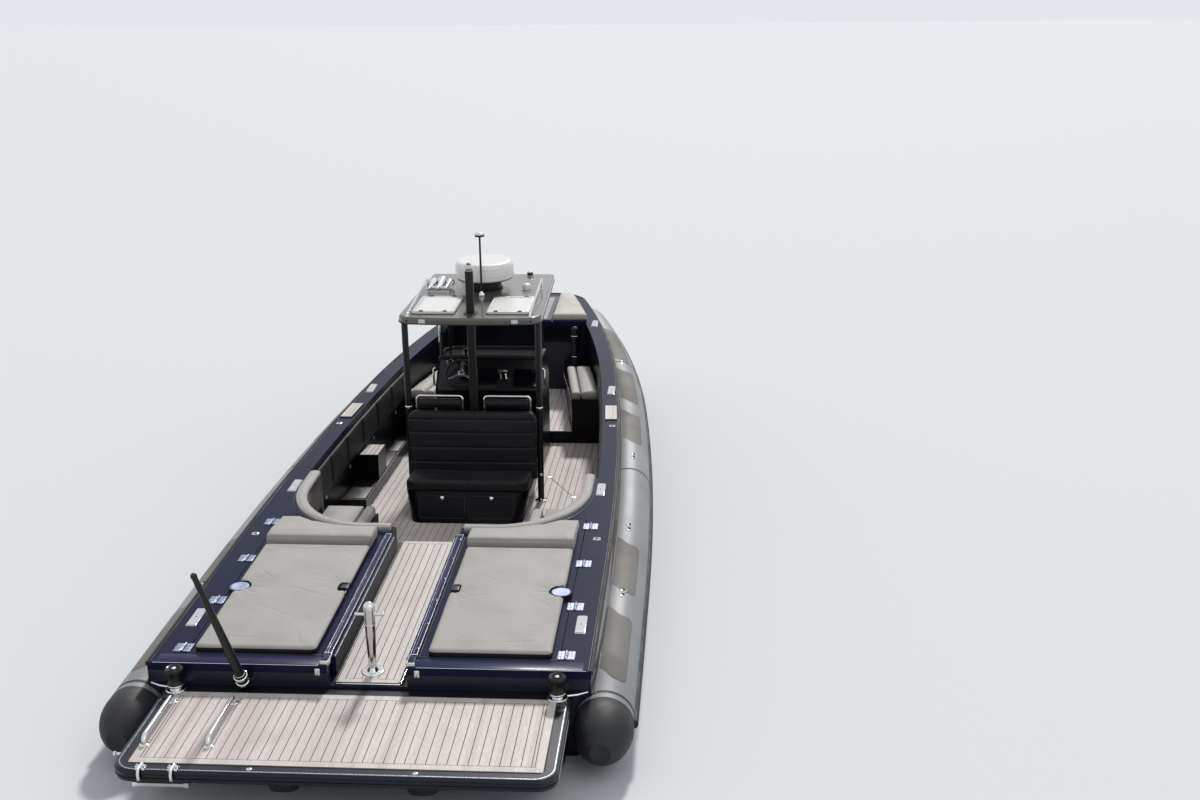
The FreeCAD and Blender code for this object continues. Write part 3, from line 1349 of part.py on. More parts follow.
forward = forward_cushions()
save("forward_cushions", *forward, *[mirrored(piece) for piece in forward])
save("foredeck_panel", foredeck_panel())
save("foredeck_cushions", *pair(foredeck_cushion()))
fittings = [cleat(*row) for row in CLEATS] + [latch(*row) for row in LATCHES]
fittings += [on_deck(hatch_hinge(y)) for y in HINGE_Y]
save("deck_fittings", *fittings, *[mirrored(piece) for piece in fittings])
save("gunwale_steps", *pair(gunwale_step()))

save("drive_shields", *pair(drive_shield()))
save("drive_starboard", drive_leg())
save("drive_port", mirrored(drive_leg()))
save("propeller_starboard", propeller())
save("propeller_port", mirrored(propeller()))
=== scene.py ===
# %% [markdown]
# # A rigid inflatable boat with a hardtop
# The hard parts of the boat come from an engineering model, one object for each node, and ride on
# its bodies. This file gives them their finishes, replaces what is soft with stuffed shapes, and
# adds the trim that a boat yard adds last. Everything is in metres: X to starboard, Y forward,
# Z up from the waterline.

# %% The engineering model
import math
import random

import bmesh
import bpy
from mathutils import Matrix, Vector, noise


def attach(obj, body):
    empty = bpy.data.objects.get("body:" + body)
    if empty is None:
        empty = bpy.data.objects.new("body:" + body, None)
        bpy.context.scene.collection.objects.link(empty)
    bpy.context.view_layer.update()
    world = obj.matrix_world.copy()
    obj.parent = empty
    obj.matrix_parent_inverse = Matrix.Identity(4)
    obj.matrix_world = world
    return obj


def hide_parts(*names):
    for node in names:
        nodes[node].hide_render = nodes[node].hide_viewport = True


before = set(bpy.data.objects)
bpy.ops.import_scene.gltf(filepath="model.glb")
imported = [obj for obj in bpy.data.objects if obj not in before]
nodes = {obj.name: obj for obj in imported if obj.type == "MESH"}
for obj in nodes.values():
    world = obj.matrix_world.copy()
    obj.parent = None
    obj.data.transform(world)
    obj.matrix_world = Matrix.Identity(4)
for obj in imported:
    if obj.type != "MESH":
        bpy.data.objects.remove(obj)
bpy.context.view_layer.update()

# %% [markdown]
# The deck, the tubes, the platform and the roof all lie in one plane that rises towards the bow.
# Working in that tilted deck frame keeps the numbers simple: z = 0 is the deck surface. A piece
# is drawn there and tilted once, when its mesh is finished.

# %% The deck frame
DECK_HEIGHT = 0.680
SHEER = math.radians(3.4)
DECK = Matrix.Translation((0, 0, DECK_HEIGHT)) @ Matrix.Rotation(SHEER, 4, "X")


def on_deck(x, y, z):
    return DECK @ Vector((x, y, z))


# %% [markdown]
# ## Finishes
# A finish is a node tree. Written by hand, shader maths fills pages, so one small class wraps a
# node's output and lets it stand in a Python sum, and one method makes every node.

# %% Shader maths as Python sums
class Reading:
    """A node's output that can be added, multiplied and compared."""

    def __init__(self, finish, socket):
        self.finish, self.socket = finish, socket

    def maths(self, operation, *values):
        return self.finish.node("ShaderNodeMath", {"operation": operation}, *values)

    def __add__(self, other):
        return self.maths("ADD", self, other)

    __radd__ = __add__

    def __sub__(self, other):
        return self.maths("SUBTRACT", self, other)

    def __rsub__(self, other):
        return self.maths("SUBTRACT", other, self)

    def __mul__(self, other):
        return self.maths("MULTIPLY", self, other)

    __rmul__ = __mul__

    def __mod__(self, other):
        return self.maths("FLOORED_MODULO", self, other)

    def __abs__(self):
        return self.maths("ABSOLUTE", self)


def srgb(red, green, blue):
    """A colour as a painter reads it from a screen, turned into the renderer's linear light."""
    parts = [c / 255 for c in (red, green, blue)]
    return [p / 12.92 if p < 0.04 else ((p + 0.055) / 1.055) ** 2.4 for p in parts] + [1.0]


class Finish:
    """One material round a Principled shader."""

    def __init__(self, name, colour, roughness, **constants):
        self.material = bpy.data.materials.new(name)
        self.material.use_nodes = True
        self.tree = self.material.node_tree
        self.shader = self.tree.nodes["Principled BSDF"]
        self.material.diffuse_color = colour
        self.use("Base Color", colour)
        self.use("Roughness", roughness)
        for socket, value in constants.items():
            self.use(socket.replace("_", " ").title().replace("Ior", "IOR"), value)
        self.colour = colour

    def node(self, kind, settings=None, *values, out=0, **named):
        made = self.tree.nodes.new(kind)
        for key, value in (settings or {}).items():
            setattr(made, key, value)
        for socket, value in [*enumerate(values), *named.items()]:
            if isinstance(value, Reading):
                self.tree.links.new(value.socket, made.inputs[socket])
            elif value is not None:
                made.inputs[socket].default_value = value
        return Reading(self, made.outputs[out])

    def use(self, socket, value):
        if isinstance(value, Reading):
            self.tree.links.new(value.socket, self.shader.inputs[socket])
        else:
            self.shader.inputs[socket].default_value = value
        return self

    def place(self, stretch=(1, 1, 1)):
        """Position in the boat's frame, in metres, stretched for a grain."""
        where = self.node("ShaderNodeTexCoord", out=3)
        return self.node("ShaderNodeVectorMath", {"operation": "MULTIPLY"}, where, stretch)

    def axis(self, index):
        return self.node("ShaderNodeSeparateXYZ", None, self.place(), out=index)

    def grain(self, scale, detail=3.0, stretch=(1, 1, 1)):
        named = {"Scale": scale, "Detail": detail}
        return self.node("ShaderNodeTexNoise", None, self.place(stretch), **named)

    def cells(self, scale, stretch=(1, 1, 1)):
        settings = {"feature": "DISTANCE_TO_EDGE"}
        return self.node("ShaderNodeTexVoronoi", settings, self.place(stretch), **{"Scale": scale})

    def step(self, value, low, high, to_low=0.0, to_high=1.0):
        settings = {"interpolation_type": "SMOOTHSTEP"}
        return self.node("ShaderNodeMapRange", settings, value, low, high, to_low, to_high)

    def tint(self, share, first, second):
        settings = {"data_type": "RGBA"}
        return self.node("ShaderNodeMix", settings, share, None, None, None, None, None, first, second, out=2)

    def relief(self, height, distance, strength=1.0):
        named = {"Height": height, "Distance": distance, "Strength": strength}
        return self.use("Normal", self.node("ShaderNodeBump", None, **named))


def shade(colour, factor):
    return [c * factor for c in colour[:3]] + [1.0]


# %% [markdown]
# Paint, gelcoat and moulded plastic are one family: a clear coat over a colour, faintly cloudy
# from dust and salt, with the slow ripple that every sprayed or moulded panel has.

# %% Gelcoat and paint
def glossy(name, colour, roughness=0.22, coat=0.6, dust=0.25, ripple=0.0006, shine=0.5):
    made = Finish(name, colour, roughness, coat_weight=coat, coat_roughness=0.08, specular_ior_level=shine)
    cloud = made.grain(1.7, 4.0)
    salt = made.grain(38.0, 2.0)
    made.use("Base Color", made.tint(made.step(cloud * 0.7 + salt * 0.3, 0.42, 0.75), colour,
                                     [c + (0.30 - c) * dust * 0.4 for c in colour[:3]] + [1.0]))
    made.use("Roughness", roughness + made.step(cloud, 0.35, 0.8) * dust * 0.4)
    made.relief(made.grain(9.0, 1.0), ripple)
    return made.material


navy = glossy("navy_gelcoat", srgb(20, 26, 56), 0.25, coat=0.06, dust=0.03, shine=0.05)
# The paler navy is the navy gelcoat made lighter: a painted highlight for the rail covers, the transom's top and the
# coaming's ridges.
navy_highlit = glossy("navy_gelcoat_painted_highlight", srgb(33, 41, 74), 0.30, coat=0.06, dust=0.05, shine=0.08)
frame_paint = glossy("navy_frame", srgb(15, 17, 30), 0.30, coat=0.15, dust=0.06, shine=0.25)
hull_paint = glossy("hull_gelcoat", srgb(18, 22, 42), 0.30, coat=0.15, dust=0.08, shine=0.3)
black_gloss = glossy("black_moulding", srgb(10, 11, 15), 0.28, coat=0.06, dust=0.04, shine=0.10)
black_paint = glossy("black_paint", srgb(18, 19, 22), 0.38, coat=0.1, dust=0.08, shine=0.3)
roof_paint = glossy("roof_gelcoat", srgb(88, 83, 74), 0.26, dust=0.12)
white_gelcoat = glossy("white_gelcoat", srgb(232, 231, 227), 0.28, dust=0.05)
engine_paint = glossy("engine_paint", srgb(90, 95, 98), 0.5, coat=0.0)
drive_paint = glossy("drive_paint", srgb(58, 60, 64), 0.35, coat=0.3)

# %% [markdown]
# Polished steel is a mirror, so its look comes from what it reflects. A few streaks of roughness
# keep the reflections from being perfectly clean. The hinge plates are engine-turned: a fine
# crossed pattern catches the light in many small facets.

# %% Metals
def steel(name, colour, roughness, streaks=(2.0, 40.0, 40.0)):
    made = Finish(name, colour, roughness, metallic=1.0)
    wear = made.grain(6.0, 5.0, streaks)
    made.use("Roughness", made.step(wear, 0.3, 0.75, roughness * 0.7, roughness * 1.9))
    made.relief(made.grain(14.0, 1.0), 0.0003)
    return made.material


chrome = steel("polished_steel", srgb(222, 222, 222), 0.09)
satin_steel = steel("satin_steel", srgb(165, 168, 172), 0.30, (60.0, 2.0, 60.0))
alloy = steel("propeller_alloy", srgb(170, 165, 150), 0.22, (20.0, 20.0, 20.0))
bright_edge = steel("bright_edging", srgb(150, 156, 170), 0.25, (30.0, 3.0, 30.0))


def turned_plate(name):
    made = Finish(name, srgb(160, 168, 190), 0.3, metallic=0.8)
    across, along = made.axis(0), made.axis(1)
    cell = 0.022
    lattice = abs((across + along) % cell - cell / 2) * (2 / cell)
    other = abs((across - along) % cell - cell / 2) * (2 / cell)
    pattern = lattice * other
    made.use("Base Color", made.tint(made.step(pattern, 0.05, 0.5), srgb(84, 92, 130), srgb(168, 175, 200)))
    made.use("Roughness", made.step(pattern, 0.1, 0.6, 0.55, 0.38))
    made.relief(pattern, 0.0015)
    return made.material


turned = turned_plate("engine_turned_plate")

# %% [markdown]
# The planks are a synthetic teak, pale grey with a warm cast. Each plank has its own tone and a
# fine lengthwise grain, and the whole floor carries faint stains. The dark caulking between the
# planks is real geometry, so the finish only draws the wood.

# %% Synthetic teak and caulking
WARM = (srgb(198, 188, 182), srgb(216, 207, 202), srgb(176, 165, 158), srgb(166, 157, 152))
GREY = (srgb(136, 136, 154), srgb(152, 152, 170), srgb(118, 118, 136), srgb(112, 112, 128))


def teak(name, pitch, lengthwise=True, tones=WARM):
    made = Finish(name, tones[1], 0.62)
    grain = (55.0, 2.2, 55.0) if lengthwise else (2.2, 55.0, 55.0)
    fibre = made.grain(5.0, 5.0, grain)
    across = made.axis(0 if lengthwise else 1)
    plank = across - (across % pitch)
    own = made.node("ShaderNodeTexWhiteNoise", {"noise_dimensions": "1D"}, None, plank * (1 / pitch))
    stain = made.step(made.grain(2.3, 4.0), 0.52, 0.78)
    wood = made.tint(own, tones[0], tones[1])
    wood = made.tint(made.step(fibre, 0.35, 0.75) * 0.5, wood, tones[2])
    wood = made.tint(stain * 0.35, wood, tones[3])
    made.use("Base Color", wood)
    made.use("Roughness", made.step(fibre, 0.3, 0.8, 0.5, 0.75))
    made.relief(fibre, 0.0006)
    return made.material


deck_teak = teak("pale_teak", 0.072)
grey_planks = teak("grey_planks_across", 0.072, False, GREY)

# %% [markdown]
# Rubber, caulking and gaskets are matt and nearly black, with a little bloom.

# %% Rubber and caulking
def matt(name, colour, roughness=0.7, bloom=0.15):
    made = Finish(name, colour, roughness)
    cloud = made.grain(4.0, 4.0)
    made.use("Base Color", made.tint(made.step(cloud, 0.4, 0.8) * bloom, colour, srgb(120, 120, 118)))
    made.use("Roughness", made.step(cloud, 0.3, 0.7, roughness * 0.85, min(1.0, roughness * 1.15)))
    made.relief(made.grain(120.0, 2.0), 0.0004)
    return made.material


rubber = matt("black_rubber", srgb(30, 31, 33))
caulking = matt("caulking", srgb(52, 48, 46), 0.8)
black_cloth = matt("black_tube_cloth", srgb(22, 23, 26), 0.66, 0.15)
grey_piping = matt("grey_piping", srgb(96, 98, 102), 0.5, 0.2)
pale_joint = matt("pale_joint", srgb(196, 196, 194), 0.5, 0.1)
grey_riser = matt("grey_moulding", srgb(120, 117, 110), 0.5, 0.2)

# %% [markdown]
# The tubes are coated fabric. A fine weave shows through the coating, which has a silky shine
# along the top of the tube; the taupe patches are a matt non-slip cloth glued over it.

# %% Tube fabric
def coated(name, colour, roughness, sheen, weave=0.0003):
    made = Finish(name, colour, roughness, specular_ior_level=sheen)
    cloud = made.grain(1.1, 4.0)
    made.use("Base Color", made.tint(made.step(cloud, 0.35, 0.75), colour, shade(colour, 0.82)))
    made.use("Roughness", made.step(cloud, 0.3, 0.8, roughness * 0.85, roughness * 1.2))
    puckers = made.grain(3.0, 2.0, (1.0, 0.35, 1.0))
    made.relief(made.cells(420.0) * 0.15 + puckers, 0.004 + weave)
    return made.material


tube_cloth = coated("silver_tube_cloth", srgb(136, 138, 141), 0.46, 0.5)
patch_cloth = coated("taupe_patch_cloth", srgb(118, 116, 112), 0.66, 0.3)

# %% [markdown]
# Upholstery is marine vinyl: a leather grain that only shows close up, and soft darker clouds of painted shade where
# the foam under it gives. The dark leather of the helm has more shine.

# %% Upholstery
def vinyl(name, colour, roughness=0.52, grain=0.0005, coat=0.0, sheen=0.15, shine=0.5):
    made = Finish(name, colour, roughness, coat_weight=coat, sheen_weight=sheen, sheen_roughness=0.5,
                  specular_ior_level=shine)
    cloud = made.grain(2.6, 4.0)
    skin = made.cells(260.0)
    # The darker clouds are painted shade of the cover sagging over its foam.
    made.use("Base Color", made.tint(made.step(cloud, 0.35, 0.75), colour, shade(colour, 0.90)))
    made.use("Roughness", made.step(cloud, 0.3, 0.8, roughness * 0.9, roughness * 1.12))
    made.relief(made.step(skin, 0.0, 0.35) * 0.2 + made.grain(7.0, 3.0), 0.003 + grain)
    return made.material


pad_vinyl = vinyl("grey_vinyl", srgb(160, 157, 152))
cream_vinyl = vinyl("cream_vinyl", srgb(178, 174, 163))
dark_leather = vinyl("black_leather", srgb(15, 16, 20), 0.42, coat=0.05, sheen=0.03, shine=0.25)
dark_panel = vinyl("black_side_padding", srgb(17, 18, 22), 0.5, sheen=0.03, shine=0.25)

# %% [markdown]
# Tinted glass lets light through and keeps a dark cast. Screens and lamp lenses are glass too,
# but with something dark or pale behind it.

# %% Glass and lenses
def glass(name, colour, alpha):
    made = Finish(name, colour, 0.05, alpha=alpha, coat_weight=1.0, coat_roughness=0.02)
    made.use("Roughness", made.step(made.grain(5.0), 0.4, 0.8, 0.03, 0.12))
    made.material.blend_method = "BLEND"
    return made.material


tinted = glass("tinted_glass", srgb(22, 26, 30), 0.55)
display = glass("dark_display", srgb(10, 13, 18), 1.0)


def lens(name, colour, glow=0.0):
    made = Finish(name, colour, 0.12, coat_weight=1.0, emission_strength=glow)
    ribs = made.cells(90.0)
    made.use("Base Color", made.tint(made.step(ribs, 0.0, 0.3), shade(colour, 0.7), colour))
    made.use("Emission Color", colour)
    made.relief(ribs, 0.0008)
    return made.material


pale_lens = lens("pale_lens", srgb(226, 228, 230))
# %% [markdown]
# ## Shapes
# Nearly all trim on a boat is a section carried along a line, a flat outline given thickness, or
# something turned on a lathe. All three are a row of rings joined by a skin, so one collector
# with a few ways of making rings covers them, and a piece is as many of those as it needs.

# %% Outlines
def rounded(x0, x1, y0, y1, radius, steps=5, corners=(1, 1, 1, 1)):
    """Rectangle with round corners, anticlockwise from the low corner."""
    points = []
    for (cx, cy, start), share in zip(((x0, y0, 180), (x1, y0, 270), (x1, y1, 0), (x0, y1, 90)), corners):
        r = radius * share
        if r <= 0:
            points.append((cx, cy))
            continue
        px, py = cx + (r if cx == x0 else -r), cy + (r if cy == y0 else -r)
        for i in range(steps + 1):
            angle = math.radians(start + 90 * i / steps)
            points.append((px + r * math.cos(angle), py + r * math.sin(angle)))
    return points


def inset(outline, distance):
    """The outline moved inward by a distance, point by point."""
    count, moved = len(outline), []
    for i, (x, y) in enumerate(outline):
        (ax, ay), (bx, by) = outline[i - 1], outline[(i + 1) % count]
        u, v = Vector((x - ax, y - ay)), Vector((bx - x, by - y))
        u = u.normalized() if u.length > 1e-9 else v.normalized()
        v = v.normalized() if v.length > 1e-9 else u
        normal = Vector((-u.y - v.y, u.x + v.x))
        if normal.length < 1e-6:
            normal = Vector((-u.y, u.x))
        normal.normalize()
        stretch = min(2.0, 1 / max(0.3, normal.dot(Vector((-u.y, u.x)))))
        moved.append((x + normal.x * distance * stretch, y + normal.y * distance * stretch))
    return moved


def circle(radius, steps=24, x=0.0, y=0.0):
    return [(x + radius * math.cos(math.tau * i / steps), y + radius * math.sin(math.tau * i / steps))
            for i in range(steps)]


# %% The collector
class Piece:
    """Gathers rings and skins, then becomes one object of the boat."""

    def __init__(self):
        self.mesh = bmesh.new()
        self.kind = 0

    def face(self, verts):
        if len(set(verts)) >= 3:
            try:
                self.mesh.faces.new(verts).material_index = self.kind
            except ValueError:
                pass

    def skin(self, rings, around=True, caps=True, loop=False):
        """Joins rings of equal length; caps close the first and last."""
        made = [[self.mesh.verts.new(p) for p in ring] for ring in rings]
        if loop:
            made.append(made[0])
        for low, high in zip(made, made[1:]):
            count = len(low)
            for i in range(count if around else count - 1):
                j = (i + 1) % count
                self.face([low[i], low[j], high[j], high[i]])
        if caps and not loop:
            self.face(list(reversed(made[0])))
            self.face(made[-1])
        return made

    def slab(self, outline, z0, z1, edge=0.0, steps=2, under=0.0):
        """An outline given thickness, with a round top edge and a small round below."""
        rings = []
        if under:
            rings.append([(x, y, z0) for x, y in inset(outline, under)])
        rings.append([(x, y, z0 + under) for x, y in outline])
        if edge:
            for i in range(steps + 1):
                angle = math.pi / 2 * i / steps
                ring = inset(outline, edge * (1 - math.cos(angle)))
                rings.append([(x, y, z1 - edge + edge * math.sin(angle)) for x, y in ring])
        else:
            rings.append([(x, y, z1) for x, y in outline])
        self.skin(rings)
        return self

    def box(self, x0, x1, y0, y1, z0, z1, edge=0.002):
        """A block with softened edges."""
        return self.slab(rounded(x0, x1, y0, y1, edge, 2), z0, z1, edge, 2)

    def sweep(self, path, section, loop=False, up=(0, 0, 1)):
        """Carries a section (outward, upward) along a path; outward is right of the way ahead."""
        up, rings, count = Vector(up), [], len(path)
        path = [Vector(p) for p in path]
        for i, point in enumerate(path):
            before = path[i - 1] if loop or i else point
            after = path[(i + 1) % count] if loop or i < count - 1 else point
            ahead = (after - before).normalized()
            out = ahead.cross(up).normalized()
            rise = out.cross(ahead)
            rings.append([point + out * a + rise * b for a, b in section])
        self.skin(rings, caps=not loop, loop=loop)
        return self

    def rod(self, path, radius, sides=10):
        """A round bar along any path, with its frame carried without twist."""
        path = [Vector(p) for p in path]
        radii = radius if isinstance(radius, (list, tuple)) else [radius] * len(path)
        ahead = (path[1] - path[0]).normalized()
        out = ahead.orthogonal().normalized()
        rings = []
        for i, point in enumerate(path):
            new = (path[min(i + 1, len(path) - 1)] - path[max(i - 1, 0)]).normalized()
            out = (ahead.rotation_difference(new) @ out).normalized()
            ahead = new
            rise = ahead.cross(out)
            turns = [math.tau * k / sides for k in range(sides)]
            rings.append([point + (out * math.cos(t) + rise * math.sin(t)) * radii[i] for t in turns])
        self.skin(rings)
        return self

    def turned(self, profile, centre, axis=(0, 0, 1), steps=28):
        """A lathe shape from (radius, height) pairs."""
        turn = Vector((0, 0, 1)).rotation_difference(Vector(axis))
        centre = Vector(centre)
        rings = [[centre + turn @ Vector((max(r, 1e-4) * math.cos(math.tau * k / steps),
                                          max(r, 1e-4) * math.sin(math.tau * k / steps), h))
                  for k in range(steps)] for r, h in profile]
        self.skin(rings)
        return self

    def patch(self, rows):
        """An open sheet of points, row by row."""
        self.skin(rows, around=False, caps=False)
        return self

    def move(self, matrix, since=0):
        """Moves what was added after the first so many points."""
        self.mesh.verts.ensure_lookup_table()
        for vert in self.mesh.verts[since:]:
            vert.co = matrix @ vert.co
        return self

    def mirror(self):
        """Adds the other side of the boat."""
        copy = bmesh.ops.duplicate(self.mesh, geom=self.mesh.verts[:] + self.mesh.edges[:] + self.mesh.faces[:])
        for item in copy["geom"]:
            if isinstance(item, bmesh.types.BMVert):
                item.co.x = -item.co.x
        bmesh.ops.reverse_faces(self.mesh, faces=[f for f in copy["geom"] if isinstance(f, bmesh.types.BMFace)])
        return self

    def flip(self):
        """Turns this piece into its mirror image."""
        for vert in self.mesh.verts:
            vert.co.x = -vert.co.x
        bmesh.ops.reverse_faces(self.mesh, faces=self.mesh.faces[:])
        return self

    def make(self, name, finishes, body="boat", slot="navy_gelcoat", deck=True, smooth=38, replaces=()):
        """Turns what was gathered into an object that rides on a body."""
        bmesh.ops.remove_doubles(self.mesh, verts=self.mesh.verts[:], dist=1e-6)
        if deck:
            bmesh.ops.transform(self.mesh, matrix=DECK, verts=self.mesh.verts[:])
        data = bpy.data.meshes.new(name)
        self.mesh.to_mesh(data)
        self.mesh.free()
        return dress(bpy.data.objects.new(name, data), finishes, body, smooth, replaces)


def dress(made, finishes, body, smooth=38, replaces=()):
    """Gives an object its finishes, smooth shading and body."""
    if made.name not in bpy.context.scene.collection.objects:
        bpy.context.scene.collection.objects.link(made)
    for finish in finishes if isinstance(finishes, (list, tuple)) else [finishes]:
        made.data.materials.append(finish)
    made.data.polygons.foreach_set("use_smooth", [True] * len(made.data.polygons))
    made.data.set_sharp_from_angle(angle=math.radians(smooth))
    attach(made, body)
    if replaces:
        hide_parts(*replaces)
    return made


# %% [markdown]
# The outline of the whole boat is three arcs that run into each other: a very gentle side, a
# shoulder and the round of the bow. Every line that runs round the boat is this one, moved in
# or out, so trim drawn from it follows the tubes exactly.

# %% Lines of the plan
TUBE_RADIUS = 0.222
TUBE_DROP = 0.390
TUBE_IN = 0.035
TUBE_HALF = 1.790
DECK_EDGE = 0.130
GUNWALE = 0.315
side_centre = (TUBE_HALF - 60.0, 2.0)
side_end = math.asin(5.0 / 60.0)
shoulder_centre = (side_centre[0] + math.cos(side_end) * 38.0, side_centre[1] + math.sin(side_end) * 38.0)
shoulder_end = math.asin((10.9 - shoulder_centre[1]) / 22.0)
bow_centre = (shoulder_centre[0] + math.cos(shoulder_end) * 21.35,
              shoulder_centre[1] + math.sin(shoulder_end) * 21.35)


def plan_line(offset, y0, y1=20.0, fine=1.0):
    """Starboard points and outward directions of a plan line, from aft to the bow."""
    points = [(TUBE_HALF + offset, y0 + (2.0 - y0) * i / 8, 0.0) for i in range(8)] if y0 < 2.0 else []
    for centre, radius, start, end, steps in ((side_centre, 60.0, 0.0, side_end, 20),
                                              (shoulder_centre, 22.0, side_end, shoulder_end, 24),
                                              (bow_centre, 0.65, shoulder_end, math.pi / 2, 14)):
        for i in range(int(steps * fine)):
            angle = start + (end - start) * i / int(steps * fine)
            points.append((centre[0] + (radius + offset) * math.cos(angle),
                           centre[1] + (radius + offset) * math.sin(angle), angle))
    points.append((0.0 if offset > -0.65 else bow_centre[0], bow_centre[1] + 0.65 + offset, math.pi / 2))
    return [p for p in points if y0 - 1e-6 <= p[1] <= y1 + 1e-6]


def plan_half(y, offset=0.0):
    """Half width of a plan line at a station."""
    if y <= 2.0:
        return TUBE_HALF + offset
    centre, radius = (side_centre, 60.0) if y < 6.99 else (shoulder_centre, 22.0)
    return centre[0] + math.sqrt((radius + offset) ** 2 - (y - centre[1]) ** 2)


def corner_line(grow, y_to=3.9, start=0.0, steps=24):
    """Edge of the cockpit's aft end, from its middle round the elliptic corner to the side."""
    across, along = 0.725 + grow, 0.880 + grow
    points = [(start, 3.5 - along)] if start < 0.58 else []
    for i in range(steps + 1):
        angle = math.radians(90 * i / steps)
        points.append((0.58 + across * math.sin(angle), 3.5 - along * math.cos(angle)))
    points = [p for p in points if p[0] >= start]
    points.append((0.58 + across, y_to))
    return points


# %% [markdown]
# Planks are laid as real strips with dark caulking between them. Laying them is a cutting job:
# one flat face with the outline of the floor is cut along each seam, and each strip is then
# drawn in a little from its neighbours, so curved edges come out right without extra work.

# %% Laying planks
SEAM = 0.005


def strips(region, pitch, lengthwise=True, offset=0.0):
    """Cuts a flat outline into strips and returns their outlines."""
    axis = 0 if lengthwise else 1
    low, high = min(p[axis] for p in region), max(p[axis] for p in region)
    first = math.floor((low - offset) / pitch)
    cut = []
    for index in range(first, math.ceil((high - offset) / pitch) + 1):
        sheet = bmesh.new()
        sheet.faces.new([sheet.verts.new((*p, 0.0)) for p in region])
        for at, side in ((offset + index * pitch + SEAM / 2, -1), (offset + (index + 1) * pitch - SEAM / 2, 1)):
            normal = [0.0, 0.0, 0.0]
            normal[axis] = side
            point = [0.0, 0.0, 0.0]
            point[axis] = at
            bmesh.ops.bisect_plane(sheet, geom=sheet.verts[:] + sheet.edges[:] + sheet.faces[:], dist=1e-6,
                                   plane_co=point, plane_no=normal, clear_outer=True)
        for face in sheet.faces:
            corners = [(v.co.x, v.co.y) for v in (loop.vert for loop in face.loops)]
            area = sum(a[0] * b[1] - b[0] * a[1] for a, b in zip(corners, corners[1:] + corners[:1]))
            if abs(area) > 2e-4:
                cut.append(corners if area > 0 else corners[::-1])
        sheet.free()
    return cut


def lay(piece, region, pitch, z0, z1, lengthwise=True, offset=0.0):
    """Adds planks over an outline."""
    for strip in strips(region, pitch, lengthwise, offset):
        piece.slab(strip, z0, z1, 0.0012, 1)
    return piece


def border(piece, region, width, z0, z1):
    """A frame of planks round an outline, mitred at its corners; returns the outline inside it."""
    inner = inset(region, width - SEAM / 2)
    count = len(region)
    for i in range(count):
        j = (i + 1) % count
        a, b, c, d = (Vector(p) for p in (region[i], region[j], inner[j], inner[i]))
        trim = (b - a).normalized() * 0.001
        if (b - a).length > 0.004:
            piece.slab([tuple(a + trim), tuple(b - trim), tuple(c - trim), tuple(d + trim)], z0, z1)
    return inset(region, width + SEAM / 2)
# %% [markdown]
# ## Finishes on the engineering nodes
# Where a node already has its true shape it stays, and only gets its finish.

# %% Finishes by node
KEPT = {
    hull_paint: ["hull_aft", "hull_middle", "hull_forward"],
    black_gloss: ["topsides", "bow_seats", "corner_seats", "port_locker", "seat_module", "console"],
    navy: ["deck_aft", "side_decks", "foredeck", "hatch_starboard", "hatch_port"],
    frame_paint: ["platform_frame"],
    black_cloth: ["tube_ends"],
    rubber: ["rub_strakes"],
    caulking: ["platform_teak", "walkway_teak", "sole_teak", "foredeck_panel", "gunwale_steps"],
    black_paint: ["platform_brackets", "capstan_starboard", "capstan_port", "flagstaff", "mast", "hardtop_legs"],
    chrome: ["platform_rails", "boarding_ladder", "capstan_feet", "ski_pole", "seat_frames",
             "roof_fittings", "throttle", "deck_fittings"],
    white_gelcoat: ["roof_hatch_starboard", "roof_hatch_port", "radar_dome"],
    roof_paint: ["hardtop"],
    tinted: ["windscreen"],
    dark_leather: ["steering_wheel"],
    engine_paint: ["engines"],
    drive_paint: ["drive_shields", "drive_starboard", "drive_port"],
    alloy: ["propeller_starboard", "propeller_port"],
}
for finish, names in KEPT.items():
    for name in names:
        node = nodes[name]
        node.data.materials.clear()
        node.data.materials.append(finish)
print("finished nodes:", sum(len(names) for names in KEPT.values()))

# %% [markdown]
# ## Tubes
# Each tube is a ring carried round the plan line, with fine steps so that its outline is smooth.
# The taupe patches are separate cloth glued on top: their ends are drawn as a slow S across the
# tube, and each has a thin dark edge where the glue line shows. They lie 1.5 mm proud.

# %% Tubes
TUBE_FROM = -0.06


def tube_point(y_or_entry, turn, radius):
    """A point on the tube: the station's entry, degrees from outboard over the top, radius."""
    x, y, heading = y_or_entry
    angle = math.radians(turn)
    out = radius * math.cos(angle)
    return (x + out * math.cos(heading), y + out * math.sin(heading), -TUBE_DROP + radius * math.sin(angle))


def entry_at(line, y):
    """The plan line's point and heading at a station."""
    for a, b in zip(line, line[1:]):
        if a[1] <= y <= b[1] and b[1] > a[1]:
            share = (y - a[1]) / (b[1] - a[1])
            return tuple(a[k] + (b[k] - a[k]) * share for k in range(3))
    return line[-1] if y > line[-1][1] else line[0]


middle_line = plan_line(-TUBE_IN, TUBE_FROM, fine=2.0)
for side in ("starboard", "port"):
    tube = Piece()
    rings = [[tube_point(entry, 360 * k / 56, TUBE_RADIUS) for k in range(56)] for entry in middle_line]
    tube.skin(rings)
    if side == "port":
        tube.flip()
    tube.make("tube_skin_" + side, tube_cloth, slot="tube_fabric", smooth=60, replaces=["tube_" + side])

# %% Patches on the tubes
PATCHES = [(0.42, 1.46), (1.91, 2.89), (5.62, 6.55), (7.00, 8.18), (8.65, 10.10)]
INNER_TURN, OUTER_TURN = 118.0, 50.0
S_SHIFT = 0.19


def s_shift(turn):
    """How far aft a patch's end lies at an angle round the tube."""
    share = min(1.0, max(0.0, (INNER_TURN - 4.0 - turn) / 42.0))
    return S_SHIFT * share * share * (3 - 2 * share)


